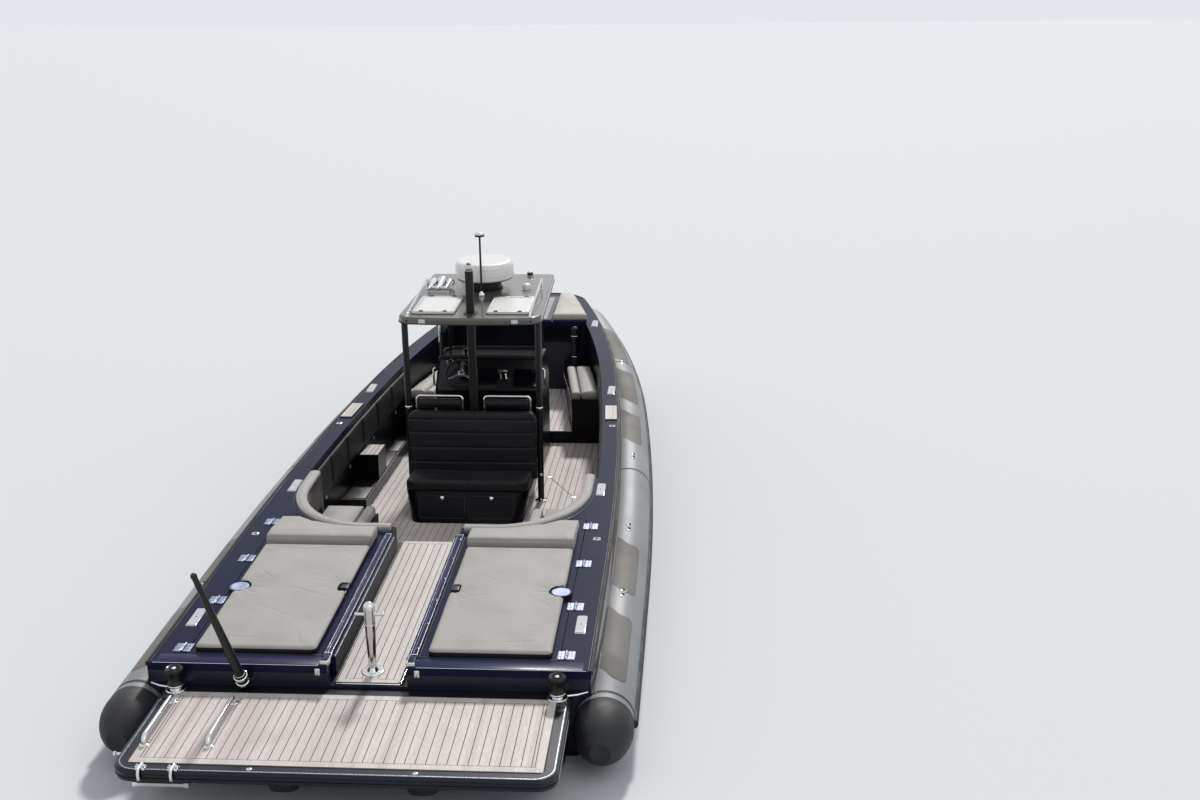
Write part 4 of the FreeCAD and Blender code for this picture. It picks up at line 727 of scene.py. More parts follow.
for side in ("starboard", "port"):
    cloth, edge = Piece(), Piece()
    for aft, fwd in PATCHES:
        turns = [INNER_TURN + (OUTER_TURN - INNER_TURN) * k / 18 for k in range(19)]
        for grow, target, rise in ((0.0, cloth, 0.0016), (0.006, edge, 0.0008)):
            rows = []
            for k, turn in enumerate(turns):
                lean = turn - (grow * 120 if k == len(turns) - 1 else 0)
                low, high = aft - s_shift(turn) - grow, fwd - s_shift(turn) + grow
                corner = 0.05 * max(0.0, (k - 16) / 2) ** 2
                rows.append([tube_point(entry_at(middle_line, low + corner + (high - low - 2 * corner) * i / 24),
                                        lean, TUBE_RADIUS + rise) for i in range(25)])
            target.patch(rows if grow >= 0 else rows[::-1])
    for piece, name, finish in ((cloth, "tube_patches_", patch_cloth), (edge, "tube_patch_edges_", caulking)):
        if side == "port":
            piece.flip()
        piece.make(name + side, finish, slot="tube_fabric", smooth=60)

# %% [markdown]
# The deck's edge stands above the tube and is capped by a black gasket. A second one closes the
# joint between topside and tube, with grey piping outboard of it. All follow the plan line.

# %% Gasket and piping
def run(piece, offset, section, y0, y1=20.0, z=0.0, fine=1.0):
    """Carries a section along a plan line."""
    piece.sweep([(x, y, z) for x, y, _ in plan_line(offset, y0, y1, fine)], section)
    return piece


gasket_section = [(-0.012, -0.004), (0.005, -0.030), (0.012, -0.030), (0.014, -0.004), (0.006, 0.008), (-0.008, 0.008)]
joint_section = [(-0.006, -0.008), (0.016, -0.008), (0.018, 0.004), (0.006, 0.012), (-0.006, 0.012)]
gaskets = Piece()
run(gaskets, -DECK_EDGE, gasket_section, 0.0)
run(gaskets, -DECK_EDGE, joint_section, 0.0, z=-0.188)
gaskets.mirror().make("tube_gasket", rubber, slot="black_rubber", smooth=60)
run(Piece(), -DECK_EDGE + 0.027, circle(0.006, 8), 0.0, z=-0.176).mirror().make(
    "tube_piping", grey_piping, slot="tube_fabric", smooth=60)
run(Piece(), -DECK_EDGE - 0.020, circle(0.0028, 6), 0.02, z=0.0012).mirror().make(
    "deck_edge_bead", grey_piping, slot="navy_gelcoat", smooth=60)

# %% [markdown]
# Small things on the tubes: a seam tape round the black end, and inflation valves, each a shallow cup with a cap.

# %% Tube seams and valves
def band(piece, y, width, turn0, turn1, rise, steps=24):
    """A strip of tape round the tube."""
    rows = []
    for k in range(steps + 1):
        turn = turn0 + (turn1 - turn0) * k / steps
        rows.append([tube_point(entry_at(middle_line, y + width * i / 2), turn, TUBE_RADIUS + rise) for i in range(3)])
    piece.patch(rows)
    return piece


seams = Piece()
for y in (0.002, 4.60, 8.40):
    band(seams, y, 0.035, 200, -40, 0.0012)
seams.mirror().make("tube_seam_tapes", black_cloth, slot="black_fabric", smooth=60)

valves, valve_caps = Piece(), Piece()
VALVES = [(1.70, 78.0), (3.10, 80.0), (5.00, 76.0), (8.42, 76.0)]
for y, turn in VALVES:
    for shift in (-0.045, 0.045):
        entry = entry_at(middle_line, y + shift)
        foot = Vector(tube_point(entry, turn, TUBE_RADIUS - 0.002))
        out = (Vector(tube_point(entry, turn, TUBE_RADIUS + 0.1)) - foot).normalized()
        valves.turned([(0.030, 0.0), (0.030, 0.004), (0.026, 0.007), (0.019, 0.008), (0.018, 0.004), (0.0, 0.004)],
                      foot, out, 20)
        valve_caps.turned([(0.016, 0.004), (0.016, 0.012), (0.012, 0.015), (0.0, 0.015)], foot, out, 14)
valves.mirror().make("tube_valve_rings", chrome, slot="chrome")
valve_caps.mirror().make("tube_valve_caps", rubber, slot="black_rubber")

# %% [markdown]
# The rub strake is a plain rubber section; what one sees is the groove along its middle and the
# glued foot above and below it.

# %% Strake groove
strake_lip = [(-0.004, -0.0035), (0.0, -0.0035), (0.003, 0.0), (0.0, 0.0035), (-0.004, 0.0035)]
groove = Piece()
for drop, out in ((0.030, 0.012), (-0.030, 0.012)):
    path = [(x, y, -TUBE_DROP + drop) for x, y, _ in plan_line(TUBE_RADIUS - TUBE_IN + out, TUBE_FROM + 0.01)]
    groove.sweep(path, strake_lip)
groove.mirror().make("strake_beads", rubber, slot="black_rubber", smooth=60)

# %% [markdown]
# ## Swim platform
# The panel is framed by one mitred plank and filled with planks that run fore and aft. A thin black gasket and a bright
# rub strip run round the outside of the frame; the gasket's black is partly painted shade in the groove round the
# panel.

# %% Platform planks
PLATFORM_Z = -0.175
PANEL = rounded(-1.423, 1.423, -1.088, -0.114, 0.048, 4, (1, 1, 0, 0))
planks = Piece()
PANEL_IN = [(-1.417, -1.082), (1.417, -1.082), (1.417, -0.120), (-1.417, -0.120)]
field = border(planks, PANEL_IN, 0.062, PLATFORM_Z - 0.001, PLATFORM_Z + 0.0035)
lay(planks, field, 0.072, PLATFORM_Z - 0.001, PLATFORM_Z + 0.0035, offset=-0.036)
planks.make("platform_planks", deck_teak, slot="teak")
print("platform field:", [round(v, 3) for v in field[0]], "to", [round(v, 3) for v in field[2]])

# %% Platform edging
outline = [(-1.515, -0.03), *rounded(-1.515, 1.515, -1.18, 0.3, 0.14, 8, (1, 1, 0, 0))[:18], (1.515, -0.03)]
edging = Piece()
edging.sweep([(x, y, PLATFORM_Z - 0.020) for x, y in outline],
             [(-0.004, -0.010), (0.005, -0.008), (0.008, 0.0), (0.005, 0.008), (-0.004, 0.010)])
edging.sweep([(x, y, PLATFORM_Z - 0.062) for x, y in outline],
             [(-0.004, -0.006), (0.006, -0.004), (0.006, 0.004), (-0.004, 0.006)])
edging.make("platform_rub_strip", frame_paint, slot="navy_gelcoat", smooth=60)
bevel = Piece()
inner_line = [(x * 0.9835, -0.03 + (y + 0.03) * 0.984) for x, y in outline]
bevel.sweep([(x, y, PLATFORM_Z + 0.0005) for x, y in inner_line], [(-0.005, -0.001), (0.005, -0.001), (0.004, 0.002), (-0.004, 0.002)])
bevel.make("platform_bright_line", bright_edge, slot="chrome", smooth=60)
# The black gasket round the panel is partly painted shade in the groove between panel and frame.
recess = Piece()
recess.sweep([(x, y, PLATFORM_Z - 0.0005) for x, y in PANEL + PANEL[:1]],
             [(-0.006, -0.002), (0.006, -0.002), (0.005, 0.0035), (-0.005, 0.0035)])
recess.make("platform_panel_gasket_and_shade", rubber, slot="black_rubber", smooth=60)
# %% [markdown]
# ## Aft deck
# The walkway between the hatches is planked like the platform, with narrower planks and a bright
# bead round it.

# %% Walkway
WALK_Z = -0.140
WALK_REGION = [(-0.232, 0.018), (0.232, 0.018), (0.232, 2.612), (-0.232, 2.612)]
walk = Piece()
field = border(walk, WALK_REGION, 0.051, WALK_Z - 0.001, WALK_Z + 0.0035)
lay(walk, field, 0.0603, WALK_Z - 0.001, WALK_Z + 0.0035)
walk.make("walkway_planks", deck_teak, slot="teak")

bead = Piece()
bead.rod([(-0.245, 2.60, WALK_Z - 0.006), (-0.245, 0.020, WALK_Z - 0.006), (-0.238, 0.006, WALK_Z - 0.006),
          (0.238, 0.006, WALK_Z - 0.006), (0.245, 0.020, WALK_Z - 0.006), (0.245, 2.60, WALK_Z - 0.006)], 0.005, 8)
bead.make("walkway_bead", chrome, slot="chrome", smooth=60)
gutter = Piece()
for side in (-1, 1):
    gutter.box(side * 0.256 - 0.006, side * 0.256 + 0.006, 0.02, 2.58, WALK_Z - 0.010, WALK_Z + 0.002)
gutter.make("walkway_gutters", rubber, slot="black_rubber")


# %% [markdown]
# Trim on a hatch rides on its lid. Each piece is drawn for the starboard lid and flipped for the
# port one, so one drawing serves both.

# %% Drawing on both lids
def on_lids(draw, name, finish, slot="navy_gelcoat", smooth=38):
    for side in ("starboard", "port"):
        piece = Piece()
        draw(piece)
        if side == "port":
            piece.flip()
        piece.make(f"{name}_{side}", finish, f"hatch_{side}", slot, smooth=smooth)


RAIL_X0, RAIL_X1, RAIL_Y0, RAIL_Y1, RAIL_Z = 0.298, 0.348, 0.160, 2.402, 0.026


def rail_cover(piece):
    """Two half covers with a groove between them."""
    for x0, x1 in ((RAIL_X0, 0.3205), (0.3255, RAIL_X1)):
        piece.box(x0, x1, RAIL_Y0, RAIL_Y1, 0.0, RAIL_Z, 0.004)


def rail_lines(piece):
    """Bright beads along both top edges and screws in the groove."""
    for x in (RAIL_X0 + 0.001, RAIL_X1 - 0.001):
        piece.rod([(x, RAIL_Y0 + 0.004, RAIL_Z - 0.003), (x, RAIL_Y1 - 0.004, RAIL_Z - 0.003)], 0.0028, 8)
    for k in range(6):
        piece.turned([(0.006, 0.0), (0.006, 0.002), (0.003, 0.003), (0, 0.003)],
                     (0.335, RAIL_Y0 + 0.10 + k * 0.41, RAIL_Z - 0.0005), steps=12)
    piece.rod([(0.2725, 0.156, 0.0), (0.2725, 2.39, 0.0)], 0.0032, 8)


def rail_ends(piece):
    piece.box(0.294, 0.352, RAIL_Y0 - 0.006, RAIL_Y0 + 0.004, 0.0, RAIL_Z + 0.002, 0.002)
    piece.box(0.294, 0.352, RAIL_Y1 - 0.004, RAIL_Y1 + 0.006, 0.0, RAIL_Z + 0.002, 0.002)


def lid_gap_shades(piece):
    """Black strips in the gaps beside the rail and round the cushion's foot: painted shade in those gaps."""
    piece.box(0.354, 0.366, 0.166, 2.40, -0.001, 0.0035, 0.001)
    piece.box(0.281, 0.289, 0.166, 2.40, -0.001, 0.0030, 0.001)
    piece.box(0.372, 1.404, 0.158, 0.168, -0.001, 0.0035, 0.001)


def skirt_facing(piece):
    """A black facing on the skirt that shows from the walkway."""
    piece.box(0.2662, 0.2705, 0.153, 2.402, -0.146, -0.007, 0.0015)


on_lids(skirt_facing, "hatch_skirt_facings", rubber, "black_rubber")
# The rail covers take the paler navy, a painted highlight on the raised rail.
on_lids(rail_cover, "hatch_rail_covers", navy_highlit)
on_lids(rail_lines, "hatch_rail_lines", bright_edge, "chrome", 60)
on_lids(rail_ends, "hatch_rail_ends", chrome, "chrome")
# These black strips are painted shade in the gaps beside the rail and at the cushion's foot.
on_lids(lid_gap_shades, "hatch_gap_shades", rubber, "black_rubber")


# %% [markdown]
# Each lid carries a polished disc outboard and a latch inboard, both let into the cushion.

# %% Discs and latches
def lid_disc(piece):
    piece.turned([(0.080, 0.030), (0.080, 0.040), (0.077, 0.044), (0.070, 0.0455), (0.054, 0.0435), (0.0, 0.0425)],
                 (1.325, 1.242, 0.0), steps=48)


def disc_cup(piece):
    piece.turned([(0.086, 0.0), (0.086, 0.038), (0.081, 0.041), (0.079, 0.034), (0.0, 0.034)], (1.325, 1.242, 0.0), steps=48)


def latch_box(piece):
    piece.box(0.424, 0.492, 1.236, 1.322, 0.0, 0.046, 0.006)
    piece.box(0.432, 0.484, 1.190, 1.236, 0.0, 0.012, 0.003)


def latch_levers(piece):
    for k in range(3):
        x = 0.436 + k * 0.020
        piece.rod([(x, 1.196, 0.016), (x, 1.206, 0.024), (x, 1.232, 0.026)], 0.0045, 8)
    piece.rod([(0.430, 1.194, 0.016), (0.482, 1.194, 0.016)], 0.0035, 8)


on_lids(lid_disc, "hatch_discs", turned, "chrome", 50)
on_lids(disc_cup, "hatch_disc_cups", black_paint, "black_metal", 50)
on_lids(latch_box, "hatch_latch_boxes", black_paint, "black_metal")
on_lids(latch_levers, "hatch_latch_levers", chrome, "chrome", 60)

# %% [markdown]
# The hinges are broad engine-turned plates. One half lies on the lid and the other on the deck.

# %% Hinge plates
HINGE_ROWS = [0.235, 1.056, 1.878, 2.687]
HINGE_LINE, HALF_PLATE = 1.457, 0.065


def hinge_half(piece, x0, x1):
    for y in HINGE_ROWS:
        piece.box(x0, x1, y - HALF_PLATE, y + HALF_PLATE, 0.0042, 0.0066, 0.0012)


def hinge_screws(piece, xs):
    for y in HINGE_ROWS:
        for x in xs:
            for along in (-0.042, 0.0, 0.042):
                piece.turned([(0.0075, 0.0), (0.0072, 0.0014), (0.004, 0.0019), (0.0, 0.0012)],
                             (x, y + along, 0.0064), steps=12)


def hinge_sleeves(piece):
    for y in HINGE_ROWS:
        piece.rod([(HINGE_LINE, y - 0.021, 0.008), (HINGE_LINE, y + 0.021, 0.008)], 0.0085, 16)


on_lids(lambda piece: hinge_half(piece, 1.3915, 1.4455), "hinge_plates_lid", turned, "chrome")
on_lids(hinge_sleeves, "hinge_sleeves", turned, "chrome", 60)
on_lids(lambda piece: hinge_screws(piece, (1.405, 1.431)), "hinge_screws_lid", satin_steel, "chrome")
plates, screws = Piece(), Piece()
hinge_half(plates, 1.4685, 1.5225)
hinge_screws(screws, (1.483, 1.509))
plates.mirror().make("hinge_plates_deck", turned, slot="chrome")
screws.mirror().make("hinge_screws_deck", satin_steel, slot="chrome")

# %% [markdown]
# Aft of the lids a panel caps the transom, with a box that carries the rail's line to the stern; both are of the paler
# navy, a painted highlight. The foot of the transom has a bright strip where it meets the platform.

# %% Transom top
cap = Piece()
cap.slab(rounded(0.366, 1.600, 0.006, 0.138, 0.012, 3), -0.001, 0.0035, 0.002)
cap.box(0.296, 0.350, 0.028, 0.142, -0.001, RAIL_Z, 0.004)
cap.mirror().make("transom_caps", navy_highlit)
ends = Piece()
ends.box(0.290, 0.356, 0.016, 0.028, -0.004, RAIL_Z + 0.004, 0.003)
ends.box(0.290, 0.2975, 0.016, 0.142, -0.004, RAIL_Z + 0.002, 0.002)
ends.rod([(0.366, 0.0035, -0.001), (1.62, 0.0035, -0.001)], 0.003, 8)
ends.rod([(0.300, -0.004, -0.150), (1.46, -0.004, -0.150)], 0.0045, 8)
ends.mirror().make("transom_trim", chrome, slot="chrome", smooth=50)
hooks = Piece()
hooks.box(0.352, 0.392, -0.010, 0.004, -0.075, -0.020, 0.004)
hooks.rod([(0.372, -0.012, -0.028), (0.372, -0.026, -0.050), (0.368, -0.016, -0.072)], 0.006, 10)
hooks.mirror().make("transom_hooks", chrome, slot="chrome", smooth=60)
seams = Piece()
seams.box(0.362, 1.604, 0.1395, 0.1425, -0.001, 0.004, 0.0008)
seams.box(0.300, 1.52, -0.0035, 0.001, -0.128, -0.124, 0.001)
seams.mirror().make("transom_seams", rubber, slot="black_rubber")
vents = Piece()
for k in range(9):
    vents.turned([(0.009, 0.0), (0.009, 0.003), (0.005, 0.004), (0.0, 0.001)],
                 (0.62 + 0.075 * k, 0.0, -0.090), (0, -1, 0), 12)
vents.mirror().make("transom_vents", satin_steel, slot="chrome")


# %% [markdown]
# The coaming round the cockpit's aft end is moulded in steps that follow its curve, drawn in the paler navy as a
# painted highlight. A black seal lies between them and the padded strip, and its black is partly painted shade under
# the strip's edge. A thin bright line beside it is a painted highlight on the moulding.

# %% Coaming ridges
def ridge_line(across, along, start=0.0, y_to=3.88, steps=40):
    """A line round the cockpit's aft corner, further out sideways than aft."""
    points = [(start + (0.58 - start) * i / 6, 2.62 - along, 0.0) for i in range(6)]
    for i in range(steps + 1):
        angle = math.radians(90 * i / steps)
        points.append((0.58 + (0.725 + across) * math.sin(angle), 3.5 - (0.88 + along) * math.cos(angle), 0.0))
    points.append((0.58 + 0.725 + across, y_to, 0.0))
    return points


def half_round(width, height):
    turns = [math.pi * k / 8 for k in range(9)]
    return [(width * math.cos(t), height * math.sin(t) - 0.001) for t in turns]


ridges = Piece()
for across, along, width, height in ((0.122, 0.128, 0.010, 0.007), (0.134, 0.154, 0.006, 0.006)):
    ridges.sweep(ridge_line(across, along, 0.302), half_round(width, height))
ridges.mirror().make("coaming_ridges", navy_highlit, smooth=60)
# The seal is black rubber, and its black stands also for painted shade under the strip's outboard edge.
seal = Piece()
seal.sweep(ridge_line(0.1095, 0.1095, 0.335), half_round(0.007, 0.009))
seal.mirror().make("coaming_seal_and_shade", rubber, slot="black_rubber", smooth=60)
# The bright line is a painted highlight on the navy moulding, drawn as a thin steel bead.
highlight_line = Piece()
highlight_line.sweep(ridge_line(0.1145, 0.1165, 0.335), half_round(0.0022, 0.0050))
highlight_line.mirror().make("coaming_painted_highlight", bright_edge, slot="chrome", smooth=60)

# %% [markdown]
# Pop-up cleats and square flush latches are turned or milled steel plates. The small dark holes
# are the push buttons and the latches' finger rings.

# %% Cleats and latches
CLEAT_ROWS = [(0.745, 0.262), (3.590, 0.280), (6.690, 0.205), (9.590, 0.205)]
LATCH_ROWS = [(2.410, 0.255), (5.440, 0.205)]
holes, rims = Piece(), Piece()
for y, inboard in CLEAT_ROWS:
    x = plan_half(y) - inboard
    holes.turned([(0.0078, 0.0), (0.0078, 0.005), (0.0, 0.005)], (x, y, 0.001), steps=16)
    rims.slab(rounded(x - 0.0405, x + 0.0405, y - 0.1505, y + 0.1505, 0.013, 4), -0.001, 0.0025, 0.001)
for y, inboard in LATCH_ROWS:
    x = plan_half(y) - inboard
    rims.turned([(0.023, 0.0), (0.023, 0.0075), (0.020, 0.0085), (0.017, 0.0070), (0.017, 0.005), (0.0, 0.005)],
                (x, y, 0.0), steps=28)
    holes.turned([(0.0155, 0.0), (0.0155, 0.0066), (0.0, 0.0066)], (x, y, 0.0), steps=20)
    for sx in (-1, 1):
        for sy in (-1, 1):
            holes.turned([(0.0035, 0.0), (0.0035, 0.0056), (0.0, 0.0056)], (x + sx * 0.024, y + sy * 0.024, 0), steps=8)
rims.mirror().make("deck_fitting_rims", chrome, slot="chrome")
holes.mirror().make("deck_fitting_holes", rubber, slot="black_rubber")

# %% [markdown]
# Flagstaff and tow post: the staff is held in a double clamp with screws, the post stands on a
# round flange that is bolted through the deck.

# %% Staff clamp and post bolts
staff_foot = Vector((-0.915, -0.062, -0.118))
staff_axis = Vector((-0.06, -math.sin(math.radians(27)), math.cos(math.radians(27)))).normalized()
clamp = Piece()
for at in (0.030, 0.092):
    clamp.turned([(0.047, 0.0), (0.052, 0.004), (0.052, 0.020), (0.047, 0.024)], staff_foot + staff_axis * (at - 0.02),
                 staff_axis, 32)
for sx in (-1, 1):
    clamp.rod([staff_foot + Vector((sx * 0.044, 0.052, -0.010)), staff_foot + Vector((sx * 0.050, 0.010, 0.010)),
               staff_foot + Vector((sx * 0.044, -0.030, 0.050))], 0.009, 10)
clamp.turned([(0.0375, 0.0), (0.0400, 0.005), (0.0375, 0.010)], staff_foot + staff_axis * 0.110, staff_axis, 24)
clamp.make("staff_clamp", chrome, slot="chrome", smooth=50)
cap = Piece()
tip = staff_foot + staff_axis * 1.250
cap.turned([(0.0205, 0.0), (0.0235, 0.006), (0.0235, 0.022), (0.016, 0.036), (0.0, 0.042)], tip, staff_axis, 20)
cap.make("staff_cap", black_paint, slot="black_metal", smooth=50)

post = Piece()
for k in range(6):
    angle = math.tau * (k + 0.5) / 6
    at = (0.064 * math.cos(angle), 0.190 + 0.064 * math.sin(angle), WALK_Z + 0.010)
    post.turned([(0.0095, 0.0), (0.0095, 0.004), (0.006, 0.0065), (0.0, 0.0065)], at, steps=6)
post.turned([(0.084, -0.004), (0.088, 0.0), (0.086, 0.004), (0.080, 0.006)], (0, 0.190, WALK_Z + 0.006), steps=48)
for z, r in ((0.390, 0.0395), (0.520, 0.0425)):
    post.turned([(r - 0.001, 0.0), (r + 0.0015, 0.003), (r + 0.0015, 0.007), (r - 0.001, 0.010)],
                (0, 0.190, WALK_Z + z), steps=32)
for sx in (-1, 1):
    post.turned([(0.0118, 0.0), (0.0145, 0.003), (0.0145, 0.009), (0.0100, 0.013), (0.0, 0.014)],
                (sx * 0.0985, 0.190, WALK_Z + 0.475), (sx, 0, 0), 16)
post.make("tow_post_trim", chrome, slot="chrome", smooth=50)

# %% [markdown]
# The capstans are black drums with a polished rim and a foot switch beside each.

# %% Capstan trim
for side, sx in (("starboard", 1), ("port", -1)):
    rim = Piece()
    centre = (sx * 1.420, -0.095, -0.175)
    rim.turned([(0.0185, 0.168), (0.0185, 0.184), (0.013, 0.190), (0.0, 0.191)], centre, steps=24)
    rim.turned([(0.0615, 0.043), (0.0638, 0.046), (0.0638, 0.054), (0.0615, 0.057)], centre, steps=40)
    rim.make(f"capstan_rims_{side}", chrome, f"capstan_{side}", "chrome", smooth=50)
switches = Piece()
for y in (-0.20, -0.275):
    switches.turned([(0.026, 0.0), (0.026, 0.006), (0.020, 0.010), (0.0, 0.011)], (1.462, y, -0.175), steps=28)
switches.mirror().make("foot_switches", rubber, slot="black_rubber", smooth=50)

# %% [markdown]
# The ladder slides out below the platform: two polished clamps stand on the aft edge, with a
# knurled knob and its stem. A bright strap closes the corner between platform and tube.

# %% Platform fittings
fittings = Piece()
for x in (-1.305, -1.080):
    fittings.box(x - 0.034, x + 0.034, -1.172, -1.118, -0.178, -0.166, 0.003)
    fittings.rod([(x, -1.120, -0.160), (x, -1.196, -0.158), (x, -1.206, -0.190), (x, -1.200, -0.235)], 0.012, 12)
    for turn in range(5):
        angle = math.tau * turn / 5
        foot = Vector((x, -1.150, -0.160))
        fittings.rod([foot, foot + Vector((0.040 * math.cos(angle), 0.026 * math.sin(angle), 0.003))], 0.006, 8)
    fittings.turned([(0.016, 0.0), (0.016, 0.010), (0.010, 0.016), (0.0, 0.017)], (x, -1.150, -0.168), steps=20)
for x in (-0.565, 0.565):
    fittings.turned([(0.020, 0.0), (0.020, 0.004), (0.014, 0.007), (0.0, 0.007)], (x, -1.130, -0.176), steps=24)
fittings.turned([(0.020, 0.0), (0.020, 0.004), (0.010, 0.010), (0.009, 0.052), (0.016, 0.056), (0.016, 0.070),
                 (0.012, 0.074), (0.0, 0.075)], (-1.505, -0.930, -0.205), (-1, 0, 0), 24)
fittings.make("platform_fittings", chrome, slot="chrome", smooth=50)
straps = Piece()
straps.rod([(1.480, -0.060, -0.170), (1.560, -0.050, -0.165), (1.635, -0.014, -0.160)], [0.010, 0.011, 0.008], 10)
straps.mirror().make("platform_straps", chrome, slot="chrome", smooth=60)
rail_feet = Piece()
for x in (-1.385, -0.930):
    for y in (-0.270, -0.860):
        rail_feet.turned([(0.034, 0.0), (0.034, 0.003), (0.026, 0.006), (0.020, 0.010)], (x, y, -0.1725), steps=28)
rail_feet.make("platform_rail_feet", chrome, slot="chrome", smooth=50)
# %% [markdown]
# ## Soft goods
# The engineering model has a plain solid for each cushion, so that it has mass and something to
# press on. Here each one is rebuilt as a stuffed cover: the solid is remeshed evenly, its foot is
# pinned, and a short cloth simulation blows it up a little. The result is scaled so that no point
# moves more than a set distance, and then sewn lines, folds and dents are pressed in.

# %% Stuffing
def solids_of(name, starboard_only):
    """The closed solids of a node, one mesh each, in the order of the node's own mesh."""
    whole = bmesh.new()
    whole.from_mesh(nodes[name].data)
    bmesh.ops.remove_doubles(whole, verts=whole.verts[:], dist=1e-5)
    left, found = set(whole.faces), []
    while left:
        island, edge = set(), [next(iter(left))]
        while edge:
            face = edge.pop()
            if face in left:
                left.remove(face)
                island.add(face)
                edge.extend(other for e in face.edges for other in e.link_faces if other in left)
        if starboard_only and sum(f.calc_center_median().x for f in island) < 0:
            continue
        part = bmesh.new()
        index = {}
        for face in island:
            for vert in face.verts:
                if vert not in index:
                    index[vert] = part.verts.new(vert.co)
            part.faces.new([index[v] for v in face.verts])
        found.append(part)
    whole.free()
    return found


def evaluated(holder):
    """The holder's mesh with its modifiers applied."""
    graph = bpy.context.evaluated_depsgraph_get()
    return bpy.data.meshes.new_from_object(holder.evaluated_get(graph))


def even_mesh(part, voxel, shrink, matrix):
    """A remeshed solid, a little smaller, in the frame in which its foot is flat."""
    bmesh.ops.transform(part, matrix=matrix.inverted(), verts=part.verts[:])
    bmesh.ops.recalc_face_normals(part, faces=part.faces[:])
    low = [min(v.co[k] for v in part.verts) for k in range(3)]
    high = [max(v.co[k] for v in part.verts) for k in range(3)]
    for vert in part.verts:
        for k in range(3):
            middle, half = (low[k] + high[k]) / 2, (high[k] - low[k]) / 2
            inward = shrink * (vert.co[k] - middle) / half
            vert.co[k] -= inward if k < 2 or vert.co[2] > middle else 0.0
    mesh = bpy.data.meshes.new("even")
    part.to_mesh(mesh)
    part.free()
    holder = bpy.data.objects.new("even", mesh)
    bpy.context.scene.collection.objects.link(holder)
    remesh = holder.modifiers.new("remesh", "REMESH")
    remesh.mode, remesh.voxel_size = "VOXEL", voxel
    return holder


def stuffed(name, finish, voxel, cap, shrink=0.004, tilted=True, pair=True, body="boat", press=None,
            fill=0.8, slot="pad", label=None, second=None):
    """Notes a node that is to become a stuffed cover; second says which faces take the second finish."""
    return dict(name=name, finish=finish, voxel=voxel, cap=cap, shrink=shrink, pair=pair, body=body, press=press,
                fill=fill, slot=slot, label=label or name, second=second, turn=DECK if tilted else Matrix.Identity(4))


def start_cloth(job):
    """Makes the pinned cloth for a node and returns its holder."""
    sheet = bmesh.new()
    for part in solids_of(job["name"], job["pair"]):
        holder = even_mesh(part, job["voxel"], job["shrink"], job["turn"])
        mesh = evaluated(holder)
        sheet.from_mesh(mesh)
        bpy.data.objects.remove(holder)
        bpy.data.meshes.remove(mesh)
    mesh = bpy.data.meshes.new(job["label"])
    sheet.to_mesh(mesh)
    sheet.free()
    cloth = bpy.data.objects.new(job["label"], mesh)
    bpy.context.scene.collection.objects.link(cloth)
    foot = min(v.co.z for v in mesh.vertices)
    pinned = cloth.vertex_groups.new(name="foot")
    pinned.add([v.index for v in mesh.vertices if v.co.z < foot + job["voxel"] * 0.6], 1.0, "REPLACE")
    modifier = cloth.modifiers.new("stuffing", "CLOTH")
    settings = modifier.settings
    settings.use_pressure = True
    settings.uniform_pressure_force = 4.0
    settings.effector_weights.gravity = 0.0
    settings.vertex_group_mass = "foot"
    settings.quality = 4
    settings.tension_stiffness = settings.compression_stiffness = 12.0
    settings.shear_stiffness = 4.0
    settings.bending_stiffness = 0.4
    modifier.point_cache.frame_end = FRAMES
    return cloth


FRAMES = 12


def end_cloth(job, cloth):
    """Scales the movement, presses the details in, smooths, and dresses the result."""
    start = [v.co.copy() for v in cloth.data.vertices]
    blown = evaluated(cloth)
    moved = [v.co.copy() for v in blown.vertices]
    cloth.modifiers.clear()
    longest = max((b - a).length for a, b in zip(start, moved)) or 1.0
    share = min(1.0, job["cap"] / longest)
    for vert, a, b in zip(cloth.data.vertices, start, moved):
        vert.co = a + (b - a) * share
    smoother = cloth.modifiers.new("smooth", "SUBSURF")
    smoother.levels = 1
    mesh = evaluated(cloth)
    cloth.modifiers.clear()
    sheet = bmesh.new()
    sheet.from_mesh(mesh)
    if job["press"]:
        sheet.normal_update()
        for vert, (place, normal) in [(v, (v.co.copy(), v.normal.copy())) for v in sheet.verts]:
            vert.co = place + normal * job["press"](place, normal)
    sheet.normal_update()
    foot = min(v.co.z for v in sheet.verts)
    flat = [f for f in sheet.faces if f.normal.z < -0.995 and f.calc_center_median().z < foot + 0.002]
    bmesh.ops.dissolve_faces(sheet, faces=flat)
    if job["second"]:
        for face in sheet.faces:
            face.material_index = int(job["second"](face.calc_center_median(), face.normal))
    bmesh.ops.transform(sheet, matrix=job["turn"], verts=sheet.verts[:])
    if job["pair"] and job["body"] == "boat":
        copy = bmesh.ops.duplicate(sheet, geom=sheet.verts[:] + sheet.edges[:] + sheet.faces[:])
        for item in copy["geom"]:
            if isinstance(item, bmesh.types.BMVert):
                item.co.x = -item.co.x
        bmesh.ops.reverse_faces(sheet, faces=[f for f in copy["geom"] if isinstance(f, bmesh.types.BMFace)])
    results = []
    sides = [job["body"]] if job["body"] == "boat" else ["hatch_starboard", "hatch_port"]
    for body in sides:
        data = bpy.data.meshes.new(job["label"])
        if body == "hatch_port":
            bmesh.ops.transform(sheet, matrix=Matrix.Diagonal((-1, 1, 1, 1)), verts=sheet.verts[:])
            bmesh.ops.reverse_faces(sheet, faces=sheet.faces[:])
        sheet.to_mesh(data)
        side = "" if body == "boat" else body.replace("hatch", "")
        cover = bpy.data.objects.new("soft_" + job["label"] + side, data)
        node = job["name"] if body == "boat" else "sunpad" + side
        dress(cover, job["finish"], body, 60, [node])
        results.append(cover)
    sheet.free()
    bpy.data.objects.remove(cloth)
    return results


# %% [markdown]
# Folds are pressed in by small functions that say how far the cover lies in or out at a point.
# On the sunpads the cover pulls in short creases from the round cut-out and the latch, and lies
# in a slack fold before the bolster.

# %% Folds and seams
def hollow(distance, width, depth):
    return -depth * math.exp(-(distance / width) ** 2)


